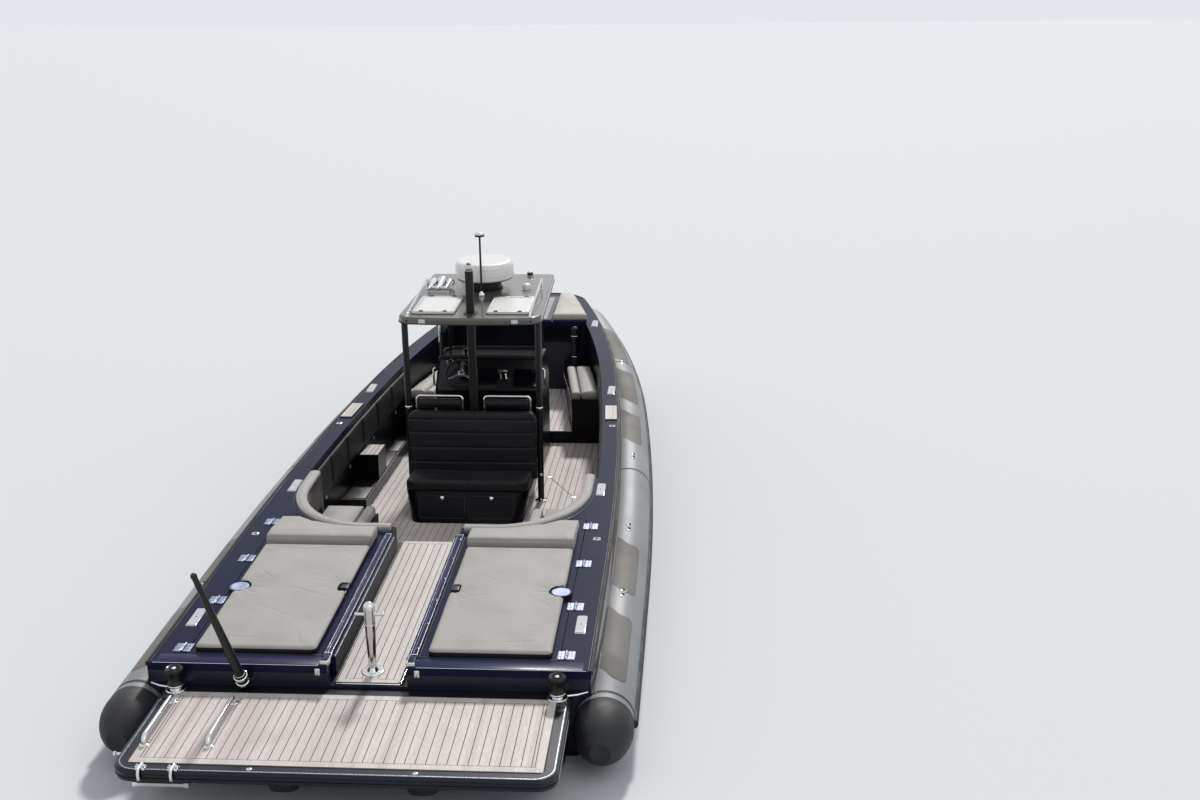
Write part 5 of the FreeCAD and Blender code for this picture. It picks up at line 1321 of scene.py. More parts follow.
def creases(place, centre, reach, count, depth, phase=0.0):
    """Short folds that fan out from a cut-out."""
    dx, dy = place.x - centre[0], place.y - centre[1]
    distance = math.hypot(dx, dy)
    if distance > reach * 2.5:
        return 0.0
    angle = math.atan2(dy, dx)
    own = 0.6 + 0.8 * noise.noise(Vector((angle * 2.3, phase, 1.0)))
    wave = math.cos(angle * count + phase) * 0.5 + 0.5
    return -depth * own * wave ** 6 * math.exp(-(max(0.0, distance - 0.1) / reach) ** 2)


def slackness(place, size, depth):
    return depth * noise.noise(Vector((place.x / size, place.y / size, place.z / size + 3.0)))


def pad_folds(place, normal):
    """Sunpad and bolster, in the deck frame."""
    top = max(0.0, normal.z)
    if place.y > 2.116:
        ripple = 0.0022 * noise.noise(Vector((place.x * 14, place.y * 5, 2.0)))
        piping = hollow(place.z - 0.095, 0.006, 0.0035) if place.y < 2.17 and normal.y < -0.3 else 0.0
        return ripple + piping + slackness(place, 0.25, 0.003)
    press = creases(place, (1.335, 1.240), 0.13, 13, 0.007, 0.8) + creases(place, (0.456, 1.255), 0.16, 11, 0.006, 2.1)
    fold_y = 2.040 - 0.060 * math.exp(-((place.x - 0.98) / 0.28) ** 2)
    press += hollow(place.y - fold_y, 0.020, 0.007) * math.exp(-((place.x - 0.95) / 0.33) ** 2)
    press += 0.004 * math.exp(-((place.y - fold_y + 0.05) / 0.035) ** 2) * math.exp(-((place.x - 0.95) / 0.30) ** 2)
    for x, y, length, lean, depth in PAD_LINES:
        along = (place.x - x) * math.cos(lean) + (place.y - y) * math.sin(lean)
        across = -(place.x - x) * math.sin(lean) + (place.y - y) * math.cos(lean)
        press += hollow(across, 0.012, depth) * math.exp(-(along / length) ** 2)
    return top * press + slackness(place, 0.45, 0.0045) * top + slackness(place, 0.12, 0.0012)


# x, y, half length, lean in radians, depth of single creases in the cover
PAD_LINES = [
    (0.70, 1.12, 0.16, 0.42, 0.0045), (0.62, 0.40, 0.14, 1.20, 0.0030), (1.18, 1.02, 0.12, 2.40, 0.0040),
    (1.16, 1.46, 0.12, 0.80, 0.0040), (0.72, 1.44, 0.12, -0.50, 0.0035), (1.10, 0.33, 0.22, 0.10, 0.0028),
    (0.52, 1.86, 0.18, 0.75, 0.0030), (0.88, 0.75, 0.30, 0.55, 0.0022),
]


def pad_side(place, normal):
    """The sunpad's walls, also inside its cut-outs, are of the dark cloth."""
    return place.y < 2.100 and normal.z < 0.45


def seat_folds(seams, size=0.22):
    """Sewn lines at given places along an axis, with a soft cover between them."""
    def press(place, normal):
        total = slackness(place, size, 0.0035)
        for axis, at, width, depth in seams:
            total += hollow(place[axis] - at, width, depth)
        return total
    return press


# %% [markdown]
# The list below is the whole upholstery. Axis 0, 1, 2 in a seam is across, along and up.

# %% Upholstery
BACK_SEAMS = [(2, z, 0.007, 0.008) for z in (0.66, 0.82, 0.98, 1.12)]
BENCH_SEAMS = [(1, 4.88, 0.008, 0.007), (0, 0.0, 0.008, 0.005)]
jobs = [
    stuffed("sunpad_starboard", [pad_vinyl, dark_panel], 0.018, 0.016, body="hatch", press=pad_folds, fill=0.75,
            label="sunpad", second=pad_side),
    stuffed("corner_cushions", pad_vinyl, 0.016, 0.016, tilted=False, press=seat_folds([]), label="corner_cushions"),
    stuffed("bench_cushion", dark_leather, 0.018, 0.024, tilted=False, pair=False, slot="black_leather",
            press=seat_folds(BENCH_SEAMS), label="bench_cushion"),
    stuffed("seat_back", dark_leather, 0.018, 0.018, tilted=False, pair=False, slot="black_leather",
            press=seat_folds(BACK_SEAMS), label="seat_back"),
    stuffed("helm_seats", dark_leather, 0.014, 0.016, tilted=False, slot="black_leather",
            press=seat_folds([(0, 0.26, 0.007, 0.005), (0, 0.47, 0.007, 0.005)], 0.15), label="helm_seats"),
    stuffed("forward_cushions", cream_vinyl, 0.020, 0.022, tilted=False, slot="cream_pad",
            press=seat_folds([(1, 8.35, 0.009, 0.006)]), label="forward_cushions"),
    stuffed("foredeck_cushions", cream_vinyl, 0.020, 0.020, slot="cream_pad",
            press=seat_folds([(1, 10.15, 0.009, 0.006), (1, 10.55, 0.009, 0.006)]), label="foredeck_cushions"),
]
cloths = [start_cloth(job) for job in jobs]
bpy.context.scene.frame_start, bpy.context.scene.frame_end = 1, FRAMES
for frame_number in range(1, FRAMES + 1):
    bpy.context.scene.frame_set(frame_number)
covers = {job["label"]: end_cloth(job, cloth) for job, cloth in zip(jobs, cloths)}
bpy.context.scene.frame_set(1)
for label, made in covers.items():
    print("cover:", label, sum(len(c.data.polygons) for c in made), "faces")

# %% [markdown]
# The strip round the coaming is too thin and too long to be worth a simulation. Its section is
# crowned, with a sewn line along each edge, and it is carried along the cockpit's edge.

# %% Coaming strip
STRIP = [(-0.048, 0.0), (0.048, 0.0), (0.0525, 0.010), (0.0525, 0.030), (0.048, 0.040), (0.041, 0.0425),
         (0.038, 0.0405), (0.034, 0.0445), (0.018, 0.0485), (0.0, 0.0495), (-0.018, 0.0485), (-0.034, 0.0445),
         (-0.038, 0.0405), (-0.041, 0.0425), (-0.048, 0.040), (-0.0525, 0.030), (-0.0525, 0.010)]
strip = Piece()
path = ridge_line(0.055, 0.055, 0.334, 3.886, 60)
rows = [path[0]] + [((a[0] + b[0]) / 2, (a[1] + b[1]) / 2, 0.0) for a, b in zip(path, path[1:])] + [path[-1]]
strip.sweep(rows, STRIP)
for vert in strip.mesh.verts:
    vert.co.z += 0.0018 * noise.noise(vert.co * 9.0) * (1 if vert.co.z > 0.02 else 0)
pads = strip.mirror().make("soft_coaming_strips", pad_vinyl, slot="pad", smooth=70, replaces=["coaming_rolls"])

# %% [markdown]
# The bulwark pads are quilted panels along the cockpit's sides, with an upright seam every so
# often and a rolled edge above and below.

# %% Bulwark pads
def bulwark_depth(y, z):
    """How far the panel stands off the side at a place."""
    seams_at = [4.02 + 0.592 * k for k in range(7)]
    nearest = min(abs(y - s) for s in seams_at)
    height = min(abs(z + 0.40), abs(z + 0.08))
    swell = min(1.0, nearest / 0.05) ** 0.5 * min(1.0, height / 0.04) ** 0.5
    return 0.016 + 0.020 * swell + 0.003 * noise.noise(Vector((y * 3, z * 5, 0)))


panel = Piece()
heights = [-0.40, -0.397, -0.39, -0.375, -0.35, -0.30, -0.24, -0.18, -0.13, -0.105, -0.09, -0.083, -0.08]
rings = []
stations = sorted({round(4.0 + 0.032 * k, 4) for k in range(112)} | {round(4.02 + 0.592 * k, 4) for k in range(7)})
for y in (s for s in stations if s < 7.585):
    wall = plan_half(y, -0.315 - 0.0005)
    ring = [(wall, y, heights[0]), (wall, y, heights[-1])]
    ring = [(wall - bulwark_depth(y, z), y, z) for z in heights[1:-1]]
    rings.append([(wall, y, heights[0]), *ring, (wall, y, heights[-1])])
panel.skin(rings)
pads = panel.mirror().make("soft_bulwark_pads", dark_panel, slot="black_leather", smooth=70, replaces=["bulwark_pads"])
# %% [markdown]
# ## Cockpit
# Floors that follow the sides are planked from their own outline: the upward faces of the node
# are found, and their border is walked round and drawn in a little.

# %% Floor outlines
def floor_outlines(name, height, tilted=False):
    """Outlines of a node's upward faces at a height."""
    sheet = bmesh.new()
    sheet.from_mesh(nodes[name].data)
    if tilted:
        bmesh.ops.transform(sheet, matrix=DECK.inverted(), verts=sheet.verts[:])
    bmesh.ops.remove_doubles(sheet, verts=sheet.verts[:], dist=1e-5)
    sheet.normal_update()
    flat = {f for f in sheet.faces if f.normal.z > 0.99 and abs(f.calc_center_median().z - height) < 0.002}
    follow = {}
    for face in flat:
        for loop in face.loops:
            if not any(other in flat for other in loop.edge.link_faces if other is not face):
                follow[loop.vert] = loop.link_loop_next.vert
    outlines = []
    while follow:
        start, walk = next(iter(follow)), []
        at = start
        while at in follow:
            walk.append((at.co.x, at.co.y))
            at = follow.pop(at)
        kept = []
        for before, point, after in zip(walk[-1:] + walk[:-1], walk, walk[1:] + walk[:1]):
            turn = (point[0] - before[0]) * (after[1] - point[1]) - (point[1] - before[1]) * (after[0] - point[0])
            if abs(turn) > 1e-6:
                kept.append(point)
        outlines.append(kept)
    sheet.free()
    return outlines


# %% Planks of the cockpit
sole = Piece()
for height in (0.150, 0.300):
    for outline in floor_outlines("sole_teak", height):
        lay(sole, inset(outline, 0.005), 0.072, height - 0.0005, height + 0.0040, offset=-0.036)
step_field = border(sole, [(-0.285, 2.628), (0.285, 2.628), (0.285, 2.892), (-0.285, 2.892)], 0.045, 0.4195, 0.4245)
lay(sole, step_field, 0.048, 0.4195, 0.4245)
sole.make("cockpit_planks", deck_teak, slot="teak", deck=False)
print("sole outlines:", [len(o) for h in (0.150, 0.300) for o in floor_outlines("sole_teak", h)])

steps = Piece()
step_region = [(-1.336, 5.656), (-1.132, 5.656), (-1.132, 6.044), (-1.336, 6.044)]
lay(steps, step_region, 0.051, 0.5795, 0.5850, offset=-1.336)
steps.make("locker_step_planks", deck_teak, slot="teak", deck=False)

gunwale = Piece()
for k in range(3):
    outer, inner = -0.156 - 0.0425 * k, -0.156 - 0.0425 * k - 0.0375
    rows = [5.646 + (6.104 - 5.646) * i / 8 for i in range(9)]
    ring = [(plan_half(y, inner), y) for y in rows][::-1] + [(plan_half(y, outer), y) for y in rows]
    gunwale.slab(ring[::-1], 0.0085, 0.0130, 0.0012, 1)
gunwale.mirror().make("gunwale_step_planks", deck_teak, slot="teak")

# %% [markdown]
# Small cockpit fittings: floor sockets with a thin dark strip on the sole between them, a bright edge along the port
# locker, an oval housing on the port side and a few hatch lines on the seat module.

# %% Cockpit fittings
sockets = Piece()
SOCKETS = [(0.702, 6.290), (1.037, 5.560)]
for x, y in SOCKETS:
    sockets.turned([(0.038, 0.0), (0.038, 0.003), (0.030, 0.0055), (0.022, 0.0055), (0.020, 0.003), (0.0, 0.003)],
                   (x, y, 0.1535), steps=28)
sockets.make("floor_sockets", satin_steel, slot="chrome", deck=False, smooth=50)
# A thin dark strip lies on the sole between the two sockets.
joint = Piece()
(ax, ay), (bx, by) = SOCKETS
beside = Vector((by - ay, ax - bx)).normalized() * 0.0035
joint.slab([(ax - beside.x, ay - beside.y), (ax + beside.x, ay + beside.y),
            (bx + beside.x, by + beside.y), (bx - beside.x, by - beside.y)], 0.1535, 0.1560)
joint.make("floor_dark_strip", rubber, slot="black_rubber", deck=False)

locker = Piece()
locker.rod([(-1.1185, 4.952, 0.2985), (-1.1185, 7.398, 0.2985)], 0.0045, 8)
locker.rod([(-1.1185, 4.9485, 0.2985), (-1.46, 4.9485, 0.2985)], 0.0045, 8)
locker.rod([(-1.116, 4.952, 0.158), (-1.116, 7.398, 0.158)], 0.006, 8)
for y in (5.25, 5.52, 6.35, 6.95):
    locker.turned([(0.017, 0.0), (0.017, 0.004), (0.011, 0.006), (0.0, 0.003)], (-1.120, y, 0.235), (1, 0, 0), 20)
locker.make("locker_edges", bright_edge, slot="chrome", deck=False, smooth=60)
lids = Piece()
for y0, y1 in ((4.975, 5.63), (6.07, 6.72), (6.74, 7.385)):
    lids.slab(rounded(-1.425, -1.135, y0, y1, 0.03, 4), 0.2995, 0.3035, 0.0015)
lids.make("locker_lids", black_paint, slot="black_gloss", deck=False)
oval = Piece()
turns = [math.tau * k / 32 for k in range(32)]
oval.skin([[(-1.462 + depth, 5.03 + 0.050 * size * math.cos(t), 0.565 + 0.095 * size * math.sin(t)) for t in turns]
           for depth, size in ((0.0, 1.0), (0.018, 0.99), (0.026, 0.90), (0.026, 0.72), (0.016, 0.66), (0.016, 0.02))])
oval.make("side_housing", black_gloss, slot="black_gloss", deck=False, smooth=50)
oval_rim = Piece()
oval_rim.rod([(-1.434, 5.03 + 0.041 * math.cos(t), 0.565 + 0.080 * math.sin(t)) for t in
              [math.pi * (0.15 + 0.7 * k / 12) for k in range(13)]], 0.007, 8)
oval_rim.make("side_housing_rim", chrome, slot="chrome", deck=False, smooth=60)

# %% Seat module lines
module = Piece()
for x0, x1 in ((-0.50, -0.02), (0.02, 0.50)):
    frame_line = rounded(x0, x1, 0.205, 0.425, 0.03, 4)
    ring = [(x, 4.640 + (z - 0.15) / 0.32 * 0.102 - 0.0030, z) for x, z in frame_line]
    module.rod(ring + ring[:1], 0.0030, 6)
module.make("module_locker_lines", rubber, slot="black_rubber", deck=False, smooth=60)
catches = Piece()
for x in (-0.26, 0.26):
    catches.turned([(0.020, 0.0), (0.020, 0.004), (0.013, 0.007), (0.0, 0.004)], (x, 4.724, 0.405), (0, -1, 0.3), 20)
for x in (-0.655, 0.655):
    catches.rod([(x, 5.33, 0.478), (x, 5.92, 0.478)], 0.004, 8)
catches.make("module_catches", chrome, slot="chrome", deck=False, smooth=50)
lights = Piece()
for y in (4.45, 5.35, 6.30, 7.20):
    x = plan_half(y, -0.315)
    lights.turned([(0.020, 0.0), (0.020, 0.004), (0.014, 0.006), (0.0, 0.006)], (x - 0.001, y, -0.465), (-1, 0, 0), 20)
lights.mirror().make("courtesy_lights", pale_lens, slot="white", smooth=50)
# %% [markdown]
# ## Helm
# The dash is a slope, so its instruments are drawn flat and laid on it by one matrix: across,
# up the slope, and out of it. All screens are blank.

# %% Dash
DASH_FOOT, DASH_HEAD = Vector((0, 6.400, 1.120)), Vector((0, 6.680, 1.450))
up_slope = (DASH_HEAD - DASH_FOOT).normalized()
out_slope = Vector((1, 0, 0)).cross(up_slope)
dash_matrix = Matrix([[1, up_slope.x, out_slope.x, 0], [0, up_slope.y, out_slope.y, 0.5 * (6.400 + 6.680)],
                      [0, up_slope.z, out_slope.z, 0.5 * (1.120 + 1.450)], [0, 0, 0, 1]])


def on_dash(draw, name, finish, slot, smooth=38):
    piece = Piece()
    draw(piece)
    piece.move(dash_matrix).make(name, finish, slot=slot, deck=False, smooth=smooth)


SCREENS = [(-0.155, 0.085, -0.105, 0.075), (0.300, 0.570, -0.150, 0.060)]


def screen_cases(piece):
    for x0, x1, y0, y1 in SCREENS:
        piece.slab(rounded(x0 - 0.012, x1 + 0.012, y0 - 0.016, y1 + 0.012, 0.014, 4), -0.002, 0.012, 0.004)


def screen_faces(piece):
    for x0, x1, y0, y1 in SCREENS:
        piece.slab(rounded(x0, x1, y0, y1, 0.006, 3), 0.010, 0.0135, 0.001)


def gauge_rims(piece):
    for x in (-0.46, -0.36, -0.26):
        piece.turned([(0.040, 0.0), (0.040, 0.008), (0.037, 0.011), (0.034, 0.007)], (x, 0.158, 0), steps=32)


def gauge_faces(piece):
    for x in (-0.46, -0.36, -0.26):
        piece.turned([(0.0345, 0.0), (0.0345, 0.006), (0.0, 0.0065)], (x, 0.158, 0), steps=28)


def switches_on(piece):
    for k in range(8):
        x = -0.135 + 0.030 * k
        piece.box(x - 0.010, x + 0.010, -0.170, -0.135, 0.0, 0.008, 0.002)
    for k in range(4):
        x = -0.535 + 0.030 * k
        piece.box(x - 0.010, x + 0.010, -0.155, -0.120, 0.0, 0.008, 0.002)


def dash_panel(piece):
    piece.slab(rounded(-0.575, 0.590, -0.198, 0.205, 0.03, 4), -0.001, 0.0025, 0.001)


on_dash(dash_panel, "dash_panel", black_paint, "black_gloss")
on_dash(screen_cases, "screen_cases", black_gloss, "black_gloss")
on_dash(screen_faces, "screen_faces", display, "glass")
on_dash(gauge_rims, "gauge_rims", chrome, "chrome", 50)
on_dash(gauge_faces, "gauge_faces", display, "glass")
on_dash(switches_on, "dash_switches", rubber, "black_rubber")

brow = Piece()
brow.rod([(-0.585, 6.690, 1.452), (-0.4, 6.684, 1.462), (0.0, 6.682, 1.466), (0.4, 6.684, 1.462),
          (0.585, 6.690, 1.452)], 0.026, 16)
brow.make("dash_brow", dark_leather, slot="black_leather", deck=False, smooth=70)
compass = Piece()
compass.turned([(0.062, 0.0), (0.062, 0.018), (0.055, 0.026), (0.052, 0.045), (0.040, 0.068), (0.020, 0.082),
                (0.0, 0.086)], (-0.300, 6.800, 1.449), steps=32)
compass.make("compass", display, slot="glass", deck=False, smooth=50)

# %% [markdown]
# The wheel's rim is wrapped; hub, spokes and the ring round the hub are steel and turn with it.

# %% Wheel trim
wheel_axis = Vector((0, -math.cos(math.radians(48)), math.sin(math.radians(48))))
wheel_hub = Vector((-0.300, 6.510, 1.253)) + wheel_axis * 0.095
trim = Piece()
trim.turned([(0.040, -0.018), (0.040, 0.014), (0.034, 0.020), (0.022, 0.022), (0.020, 0.019), (0.0, 0.019)],
            wheel_hub, wheel_axis, 32)
across = Vector((1, 0, 0))
along = wheel_axis.cross(across)
for turn in (90, 210, 330):
    ray = across * math.cos(math.radians(turn)) + along * math.sin(math.radians(turn))
    beside = wheel_axis.cross(ray)
    rings = []
    for at, half in ((0.036, 0.016), (0.090, 0.0135), (0.164, 0.0145)):
        centre = wheel_hub + ray * at + wheel_axis * 0.0055
        rings.append([centre - beside * half, centre + beside * half,
                      centre + beside * half * 0.8 + wheel_axis * 0.003,
                      centre - beside * half * 0.8 + wheel_axis * 0.003])
    trim.skin(rings)
trim.make("wheel_trim", satin_steel, "helm", "chrome", deck=False, smooth=45)

# %% [markdown]
# The windscreen's glass is held in a black frame. Its line is a U in plan, and it leans aft as it rises, so the frame
# is drawn from the same rule at two heights.

# %% Windscreen frame
def screen_line(z, grow=0.0, steps=8):
    """The glass's outer line at a height, from the port end round to the starboard end."""
    front = 7.190 - 0.200 * (z - 1.450) / 1.050 + grow
    half, corner = 0.580 + grow, 0.160 + grow
    points = [(-half, 6.770, z), (-half, front - corner, z)]
    for i in range(steps + 1):
        angle = math.radians(180 - 90 * i / steps)
        points.append((-half + corner + corner * math.cos(angle), front - corner + corner * math.sin(angle), z))
    return points + [(-x, y, z) for x, y, z in reversed(points)]


screen_frame = Piece()
screen_frame.sweep(screen_line(1.452), [(-0.016, -0.006), (0.012, -0.006), (0.012, 0.014), (0.004, 0.022),
                                        (-0.012, 0.022), (-0.016, 0.014)])
top_line = [(x, y, 0.680 + 0.0594 * (y + 0.07) + 1.166) for x, y, z in screen_line(2.262)]
screen_frame.sweep(top_line, [(-0.014, -0.030), (0.008, -0.030), (0.010, 0.0), (-0.014, 0.0)])
for side in (-1, 1):
    screen_frame.rod([(side * 0.578, 6.768, 1.450), (side * 0.578, 6.768, 2.246)], 0.017, 12)
    screen_frame.rod([(side * 0.533, 7.143, 1.455), (side * 0.533, 6.989, 2.258)], 0.014, 10)
screen_frame.make("windscreen_frame", black_paint, slot="black_metal", deck=False, smooth=50)
handles = Piece()
for side in (-1, 1):
    handles.rod([(side * 0.580, 6.752, 1.600), (side * 0.580, 6.715, 1.612), (side * 0.580, 6.702, 1.650),
                 (side * 0.580, 6.702, 2.020), (side * 0.580, 6.715, 2.058), (side * 0.580, 6.752, 2.070)], 0.0125, 12)
    handles.rod([(side * 0.618, 6.560, 1.150), (side * 0.640, 6.560, 1.165), (side * 0.640, 6.560, 1.345),
                 (side * 0.618, 6.560, 1.360)], 0.0115, 12)
handles.make("grab_handles", chrome, slot="chrome", deck=False, smooth=60)
lines = Piece()
lines.rod([(x, 7.508 - (z - 0.16) * 0.044, z) for x, z in rounded(-0.33, 0.33, 0.36, 0.98, 0.05, 4)] +
          [(-0.28, 7.508 - 0.2 * 0.044, 0.36)], 0.003, 6)
lines.make("console_door_line", rubber, slot="black_rubber", deck=False, smooth=60)

# %% [markdown]
# Helm seats: a polished foot under each hoop, and the bolster bar's end collars.

# %% Helm seat trim
seats = Piece()
for x in (-0.612, -0.118, 0.118, 0.612):
    seats.turned([(0.030, 0.0), (0.030, 0.004), (0.022, 0.008), (0.016, 0.020), (0.014, 0.024)], (x, 5.372, 0.870),
                 steps=24)
for centre in (-0.365, 0.365):
    seats.rod([(centre - 0.26, 5.905, 0.885), (centre - 0.26, 5.955, 0.885), (centre + 0.26, 5.955, 0.885),
               (centre + 0.26, 5.905, 0.885)], 0.009, 10)
seats.make("helm_seat_trim", chrome, slot="chrome", deck=False, smooth=50)
# %% [markdown]
# ## Hardtop
# All of it lies in the tilted deck frame. The roof's paint is broken by one seam ahead of the
# hatches, a rubber edge below, and the fittings that stand on it.

# %% Hardtop edges
ROOF_Z = 1.245
edge = Piece()
roof_line = []
for i in range(15):
    x = -0.640 + 1.280 * i / 14
    roof_line.append((x, 5.230 + 0.045 * (x / 0.765) ** 2))
corner_aft = [(0.640 + 0.122 * math.sin(a), 5.261 + 0.150 * (1 - math.cos(a)) + 0.010) for a in
              [math.radians(v) for v in (15, 35, 55, 75, 90)]]
corner_fwd = [(0.716 - 0.040 + 0.040 * math.cos(a), 7.210 + 0.040 * math.sin(a)) for a in
              [math.radians(v) for v in (0, 18, 36, 54, 72, 90)]]
half_line = corner_aft + corner_fwd
roof_line += half_line + [(-x, y) for x, y in reversed(half_line)]
edge.sweep([(x, y, ROOF_Z - 0.071) for x, y in roof_line],
           [(-0.014, -0.004), (0.0035, -0.004), (0.0035, 0.006), (-0.014, 0.006)], loop=True)
edge.make("hardtop_rubber_edge", rubber, slot="black_rubber", smooth=60)
seam = Piece()
seam.box(-0.700, 0.700, 6.137, 6.143, ROOF_Z - 0.002, ROOF_Z + 0.0012, 0.0005)
seam.box(-0.735, 0.735, 5.330, 5.333, ROOF_Z - 0.002, ROOF_Z + 0.0008, 0.0005)
seam.make("hardtop_seams", rubber, slot="black_rubber")
liner = Piece()
liner.slab(rounded(-0.640, 0.640, 5.360, 6.700, 0.10, 5), ROOF_Z - 0.0790, ROOF_Z - 0.0745, 0.0, under=0.003)
liner.make("hardtop_liner", dark_panel, slot="black_leather")
lamps = Piece()
for x in (-0.40, 0.40):
    for y in (5.320, 6.560):
        lamps.turned([(0.045, 0.0), (0.045, 0.007), (0.036, 0.010), (0.0, 0.010)], (x, y, ROOF_Z - 0.075), (0, 0, -1), 28)
lamps.make("cabin_lamps", pale_lens, slot="white", smooth=50)
squares = Piece()
for x in (-0.489, 0.489):
    aft = 5.230 + 0.045 * (x / 0.765) ** 2
    squares.box(x - 0.034, x + 0.034, aft - 0.006, aft + 0.02, ROOF_Z - 0.058, ROOF_Z - 0.018, 0.004)
squares.make("aft_deck_lights", pale_lens, slot="white")
dots = Piece()
dots.turned([(0.010, 0.0), (0.010, 0.004), (0.0, 0.005)], (0.655, 5.262, ROOF_Z - 0.040), (0, -1, 0), 16)
dots.turned([(0.010, 0.0), (0.010, 0.004), (0.0, 0.005)], (-0.655, 5.262, ROOF_Z - 0.040), (0, -1, 0), 16)
dots.make("hardtop_plugs", rubber, slot="black_rubber")


# %% [markdown]
# Each roof hatch has a gasket on the roof, a raised rim on its lid, two hinges on its forward
# edge and two handles aft. What belongs to the lid moves with it.

# %% Roof hatches
def ring_slab(piece, outer, inner, z0, z1):
    """A flat frame between two outlines of equal length."""
    rings = [[(x, y, z0) for x, y in outer], [(x, y, z1) for x, y in outer], [(x, y, z1) for x, y in inner],
             [(x, y, z0) for x, y in inner]]
    piece.skin(rings, caps=False, loop=True)


gasket = Piece()
ring_slab(gasket, rounded(0.160, 0.635, 5.390, 6.090, 0.036, 6), rounded(0.178, 0.617, 5.408, 6.072, 0.026, 6),
          ROOF_Z - 0.001, ROOF_Z + 0.004)
gasket.mirror().make("roof_hatch_gaskets", rubber, slot="black_rubber")
for side in ("starboard", "port"):
    rim, hardware = Piece(), Piece()
    ring_slab(rim, rounded(0.174, 0.621, 5.404, 6.076, 0.028, 6), rounded(0.206, 0.589, 5.436, 6.044, 0.020, 6),
              ROOF_Z + 0.0215, ROOF_Z + 0.0265)
    for x in (0.270, 0.525):
        hardware.box(x - 0.022, x + 0.022, 5.416, 5.446, ROOF_Z + 0.024, ROOF_Z + 0.034, 0.004)
        hardware.rod([(x - 0.026, 6.070, ROOF_Z + 0.026), (x + 0.026, 6.070, ROOF_Z + 0.026)], 0.007, 10)
    if side == "port":
        rim.flip()
        hardware.flip()
    rim.make(f"roof_hatch_rim_{side}", satin_steel, f"roof_hatch_{side}", "chrome")
    hardware.make(f"roof_hatch_hardware_{side}", black_paint, f"roof_hatch_{side}", "black_metal")

# %% [markdown]
# Radar dome: it stands on a dark pedestal and has a pale joint line near its foot. The horns have rolled mouths and
# rear caps, the searchlight a lens and a yoke, and the receiver mast two collars.

# %% Roof fittings
pedestal = Piece()
pedestal.turned([(0.182, 0.0), (0.200, 0.002), (0.200, 0.014), (0.1835, 0.020), (0.1825, 0.112), (0.300, 0.119),
                 (0.314, 0.1245), (0.180, 0.1245)], (0, 6.560, ROOF_Z - 0.001), steps=56)
pedestal.make("radar_pedestal", black_paint, slot="black_metal", smooth=50)
joint = Piece()
joint.turned([(0.3270, 0.0), (0.3288, 0.002), (0.3288, 0.005), (0.3270, 0.007)], (0, 6.560, ROOF_Z + 0.125 + 0.056),
             steps=72)
joint.make("radar_joint", pale_joint, slot="white", smooth=50)
shells = Piece()
shells.turned([(0.0515, 0.001), (0.0515, 0.030), (0.047, 0.048), (0.034, 0.061), (0.016, 0.0665), (0.0, 0.0672)],
              (0.476, 6.510, ROOF_Z), steps=32)
shells.make("dome_shell", white_gelcoat, slot="white", smooth=60)
knob = Piece()
knob.turned([(0.0372, 0.001), (0.0372, 0.020), (0.033, 0.034), (0.022, 0.043), (0.010, 0.0468), (0.0, 0.0472)],
            (0.440, 7.160, ROOF_Z), steps=32)
knob.turned([(0.0112, 0.020), (0.0112, 0.664)], (0.015, 6.175, ROOF_Z), steps=16)
knob.turned([(0.0200, 0.666), (0.0532, 0.669), (0.0536, 0.690)], (0.015, 6.175, ROOF_Z), steps=28)
knob.make("black_roof_parts", black_paint, slot="black_metal", smooth=60)
cap = Piece()
cap.turned([(0.0534, 0.690), (0.0530, 0.702), (0.044, 0.7125), (0.0, 0.7140)], (0.015, 6.175, ROOF_Z), steps=28)
cap.make("receiver_cap", white_gelcoat, slot="white", smooth=60)
mouths = Piece()
for x, mouth, length in ((-0.585, 0.042, 0.300), (-0.490, 0.052, 0.340), (-0.395, 0.042, 0.260)):
    tip = (x, 6.290 + 0.004 + length, ROOF_Z + 0.062)
    mouths.turned([(mouth * 0.90, -0.012), (mouth * 1.10, -0.003), (mouth * 1.16, 0.002), (mouth * 1.06, 0.006),
                   (mouth * 0.92, 0.001), (mouth * 0.55, -0.030)], tip, (0, 1, 0), 28)
    mouths.turned([(0.019, 0.0), (0.019, 0.026), (0.012, 0.034), (0.0, 0.035)],
                  (x, 6.296, ROOF_Z + 0.062), (0, -1, 0), 20)
mouths.make("horn_mouths", chrome, slot="chrome", smooth=50)
light = Piece()
light.turned([(0.0575, 0.0), (0.0605, 0.004), (0.0605, 0.014), (0.0575, 0.018)], (-0.270, 7.040, ROOF_Z + 0.088),
             (0, 1, 0), 36)
light.rod([(-0.270 - 0.062, 7.000, ROOF_Z + 0.088), (-0.270 - 0.062, 7.000, ROOF_Z + 0.040),
           (-0.270, 7.000, ROOF_Z + 0.014), (-0.270 + 0.062, 7.000, ROOF_Z + 0.040),
           (-0.270 + 0.062, 7.000, ROOF_Z + 0.088)], 0.007, 8)
light.turned([(0.036, 0.0), (0.036, 0.008), (0.024, 0.014), (0.018, 0.020)], (-0.270, 6.990, ROOF_Z), steps=28)
light.turned([(0.034, 0.0), (0.034, 0.006), (0.020, 0.022), (0.0115, 0.040)], (0.015, 6.175, ROOF_Z + 0.016), steps=24)
light.make("roof_fitting_trim", chrome, slot="chrome", smooth=50)
glass_face = Piece()
glass_face.turned([(0.0545, 0.0), (0.0545, 0.004), (0.040, 0.008), (0.0, 0.010)], (-0.270, 7.054, ROOF_Z + 0.088),
                  (0, 1, 0), 32)
glass_face.make("searchlight_lens", pale_lens, slot="white", smooth=50)
collars = Piece()
for x, y, radius in ((0.476, 6.510, 0.050), (0.440, 7.160, 0.036)):
    collars.turned([(radius - 0.002, 0.0), (radius + 0.006, 0.001), (radius + 0.006, 0.006), (radius - 0.001, 0.010)],
                   (x, y, ROOF_Z), steps=32)
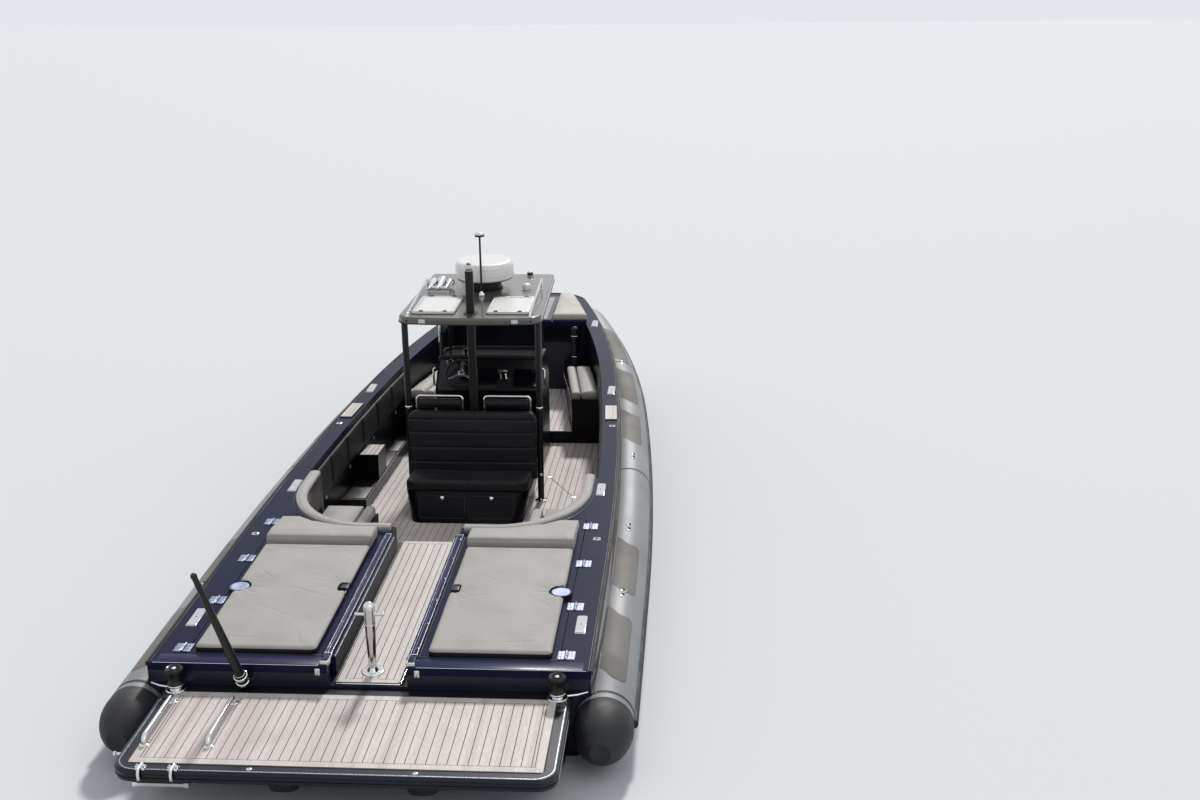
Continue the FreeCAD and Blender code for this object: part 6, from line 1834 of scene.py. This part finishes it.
for side in (-1, 1):
    for y in (5.300, 6.500):
        collars.turned([(0.022, 0.0), (0.022, 0.003), (0.014, 0.007), (0.012, 0.008)], (side * 0.646, y, ROOF_Z), steps=20)
collars.make("roof_collars", chrome, slot="chrome", smooth=50)

# %% Mast head and legs
head = Piece()
MAST_STATION = 5.447
head.turned([(0.0258, 0.0), (0.0258, 0.046), (0.021, 0.058), (0.0, 0.0625)], (0, MAST_STATION, 1.700 + 0.0245), steps=28)
head.make("mast_light", pale_lens, slot="white", smooth=50)
bands = Piece()
bands.turned([(0.0345, 0.0), (0.0365, 0.003), (0.0365, 0.010), (0.0345, 0.013)], (0, MAST_STATION, 1.700), steps=28)
bands.make("mast_light_base", satin_steel, slot="chrome", smooth=50)
boot = Piece()
ring_slab(boot, rounded(-0.072, 0.072, MAST_STATION - 0.060, MAST_STATION + 0.060, 0.026, 5),
          rounded(-0.0425, 0.0425, MAST_STATION - 0.0305, MAST_STATION + 0.0305, 0.0145, 5), ROOF_Z - 0.001, ROOF_Z + 0.007)
boot.make("mast_boot", rubber, slot="black_rubber")
legs = Piece()
for side in (-1, 1):
    foot = Vector((side * 0.704, 5.430, 0.150))
    top = on_deck(side * 0.712, 5.440, 1.170)
    lean = (top - foot).normalized()
    legs.turned([(0.066, 0.0), (0.066, 0.014), (0.056, 0.018), (0.040, 0.022), (0.036, 0.034)], foot, (0, 0, 1), 36)
    legs.turned([(0.034, 0.0), (0.037, 0.003), (0.037, 0.022), (0.034, 0.025)], foot + lean * 0.30, lean, 28)
    legs.turned([(0.034, 0.0), (0.037, 0.003), (0.037, 0.022), (0.034, 0.025)], foot + lean * 1.05, lean, 28)
    for turn in range(4):
        angle = math.tau * (turn + 0.5) / 4
        legs.turned([(0.008, 0.0), (0.008, 0.004), (0.0, 0.005)],
                    foot + Vector((0.052 * math.cos(angle), 0.052 * math.sin(angle), 0.017)), (0, 0, 1), 6)
legs.make("leg_collars", chrome, slot="chrome", deck=False, smooth=50)
# %% [markdown]
# ## Foredeck, bow seats and what hangs below
# The panel between the foredeck cushions is planked across in grey, in a dark frame. The cushions of the bow seats rest
# on a shelf whose front has a bright edge.

# %% Foredeck
fore = Piece()
panel_region = [(-0.394, 9.736), (0.394, 9.736), (0.394, 11.014), (-0.394, 11.014)]
fore_field = border(fore, panel_region, 0.052, 0.0115, 0.0160)
fore.make("foredeck_border", frame_paint, slot="navy_gelcoat")
fore_planks = Piece()
lay(fore_planks, fore_field, 0.072, 0.0115, 0.0160, lengthwise=False, offset=9.79)
fore_planks.make("foredeck_planks", grey_planks, slot="teak")
pulls = Piece()
for y in (9.95, 10.80):
    pulls.turned([(0.026, 0.0), (0.026, 0.002), (0.020, 0.004), (0.0, 0.003)], (0.0, y, 0.0155), steps=28)
pulls.make("foredeck_pulls", chrome, slot="chrome", smooth=50)

shelf = Piece()
for side in (-1, 1):
    shelf.rod([(side * 0.850, 7.652, 0.697), (side * (0.850 - 0.34 * 1.40 / 2.05), 9.05, 0.697)], 0.005, 8)
    shelf.rod([(side * 0.850, 7.652, 0.304), (side * 0.514, 9.68, 0.304)], 0.005, 8)
shelf.make("bow_seat_edges", bright_edge, slot="chrome", deck=False, smooth=60)

# %% [markdown]
# On the bow bulkhead hangs a ribbed fender in a polished holder.

# %% Bulkhead fender
fender, holder = Piece(), Piece()
profile = [(0.0, 0.66), (0.030, 0.662), (0.044, 0.675)]
for k in range(12):
    z = 0.685 + 0.042 * k
    profile += [(0.048, z), (0.054, z + 0.012), (0.054, z + 0.026), (0.048, z + 0.038)]
profile += [(0.044, 1.192), (0.030, 1.206), (0.0, 1.210)]
fender.turned(profile, (0.730, 9.600, 0.0), steps=28)
fender.make("bow_fender", black_paint, slot="black_metal", deck=False, smooth=50)
for z in (0.80, 1.08):
    holder.rod([(0.730 + 0.060 * math.cos(t), 9.600 + 0.060 * math.sin(t), z) for t in
                [math.tau * k / 24 for k in range(25)]], 0.006, 8)
    holder.rod([(0.730, 9.655, z), (0.730, 9.720, z)], 0.006, 8)
holder.make("fender_holder", chrome, slot="chrome", deck=False, smooth=60)

# %% [markdown]
# Below the water: an anode and intake slots on each drive leg, and a bright ring at its shaft. What is on a leg steers
# with it.

# %% Drive trim
for side, sx in (("starboard", 1), ("port", -1)):
    trim, dark = Piece(), Piece()
    trim.turned([(0.0625, 0.0), (0.0645, 0.003), (0.0645, 0.012), (0.0625, 0.015)], (0.5, -0.752, -0.630), (0, -1, 0), 32)
    trim.box(0.455, 0.545, -0.880, -0.700, -0.4215, -0.4125, 0.003)
    for k in range(5):
        dark.box(0.5, 0.5 + 0.0555, -0.560 + 0.022 * k, -0.552 + 0.022 * k, -0.330, -0.260, 0.001)
        dark.box(0.5 - 0.0555, 0.5, -0.560 + 0.022 * k, -0.552 + 0.022 * k, -0.330, -0.260, 0.001)
    for z in (0.020, -0.090):
        dark.box(0.3935, 0.6065, -0.600, -0.310, z, z + 0.012, 0.002)
    if side == "port":
        trim.flip()
        dark.flip()
    trim.make(f"drive_bright_trim_{side}", alloy, f"drive_{side}", "bronze", deck=False, smooth=50)
    dark.make(f"drive_dark_trim_{side}", rubber, f"drive_{side}", "black_rubber", deck=False)
# %% [markdown]
# ## Floor, light and camera
# The boat floats, so the plain floor lies at the waterline, with a hole inside the hull. One broad lamp stands ahead of the
# bow, because the photograph's shadows fall aft, and the world fills the rest. The camera was
# solved from the boat's own symmetric points, and is written as a position and three axes.

# %% Floor and world
FLOOR_SIZE = 400.0
HOLE_X, HOLE_AFT, HOLE_FWD = 1.42, 0.05, 2.32     # inside the hull, whose engine wells reach below the waterline
floor = Piece()
for x0, x1, y0, y1 in ((-FLOOR_SIZE, FLOOR_SIZE, -FLOOR_SIZE, HOLE_AFT), (-FLOOR_SIZE, FLOOR_SIZE, HOLE_FWD, FLOOR_SIZE),
                       (-FLOOR_SIZE, -HOLE_X, HOLE_AFT, HOLE_FWD), (HOLE_X, FLOOR_SIZE, HOLE_AFT, HOLE_FWD)):
    floor.patch([[(x, y, 0.0) for x in (x0, x1)] for y in (y1, y0)])
floor_finish = Finish("floor", srgb(214, 217, 220), 0.9)
floor_mesh = bpy.data.meshes.new("floor")
floor.mesh.to_mesh(floor_mesh)
floor.mesh.free()
floor_object = bpy.data.objects.new("floor", floor_mesh)
floor_mesh.materials.append(floor_finish.material)
bpy.context.scene.collection.objects.link(floor_object)

world = bpy.data.worlds.new("studio")
bpy.context.scene.world = world
world.use_nodes = True
tree = world.node_tree
background = tree.nodes["Background"]
background.inputs["Color"].default_value = srgb(228, 231, 235)
background.inputs["Strength"].default_value = 0.62
backdrop = tree.nodes.new("ShaderNodeBackground")
backdrop.inputs["Color"].default_value = srgb(228, 231, 235)
backdrop.inputs["Strength"].default_value = 1.0
path_kind = tree.nodes.new("ShaderNodeLightPath")
seen = path_kind.outputs["Is Camera Ray"]
for kind in ("Is Glossy Ray", "Is Transmission Ray"):
    either = tree.nodes.new("ShaderNodeMath")
    either.operation = "MAXIMUM"
    tree.links.new(seen, either.inputs[0])
    tree.links.new(path_kind.outputs[kind], either.inputs[1])
    seen = either.outputs[0]
mixer = tree.nodes.new("ShaderNodeMixShader")
tree.links.new(seen, mixer.inputs[0])
tree.links.new(background.outputs[0], mixer.inputs[1])
tree.links.new(backdrop.outputs[0], mixer.inputs[2])
tree.links.new(mixer.outputs[0], tree.nodes["World Output"].inputs[0])

# %% Lamps
def sun(name, towards, strength, softness, colour=(1, 1, 1)):
    lamp = bpy.data.lights.new(name, "SUN")
    lamp.energy, lamp.angle, lamp.color = strength, math.radians(softness), colour
    holder = bpy.data.objects.new(name, lamp)
    holder.rotation_mode = "QUATERNION"
    holder.rotation_quaternion = Vector(towards).to_track_quat("Z", "Y")
    bpy.context.scene.collection.objects.link(holder)


sun("key", (0.061, 0.739, 0.671), 2.4, 6.0, (1.0, 0.98, 0.95))
sun("fill", (0.55, -0.6, 0.75), 0.35, 60.0)

# %% Camera
camera = bpy.data.cameras.new("camera")
camera.lens = 45.0
camera.sensor_width = 36.0
camera.clip_end = 2000.0
right = Vector((0.99760, 0.06870, -0.00861))
down = Vector((0.00926, -0.25559, -0.96674))
ahead = Vector((-0.06862, 0.96434, -0.25561))
holder = bpy.data.objects.new("camera", camera)
turn = Matrix([right, -down, -ahead]).transposed()
holder.matrix_world = Matrix.Translation((2.4579, -10.0447, 5.3953)) @ turn.to_4x4()
bpy.context.scene.collection.objects.link(holder)
bpy.context.scene.camera = holder
bpy.context.scene.view_settings.view_transform = "Standard"
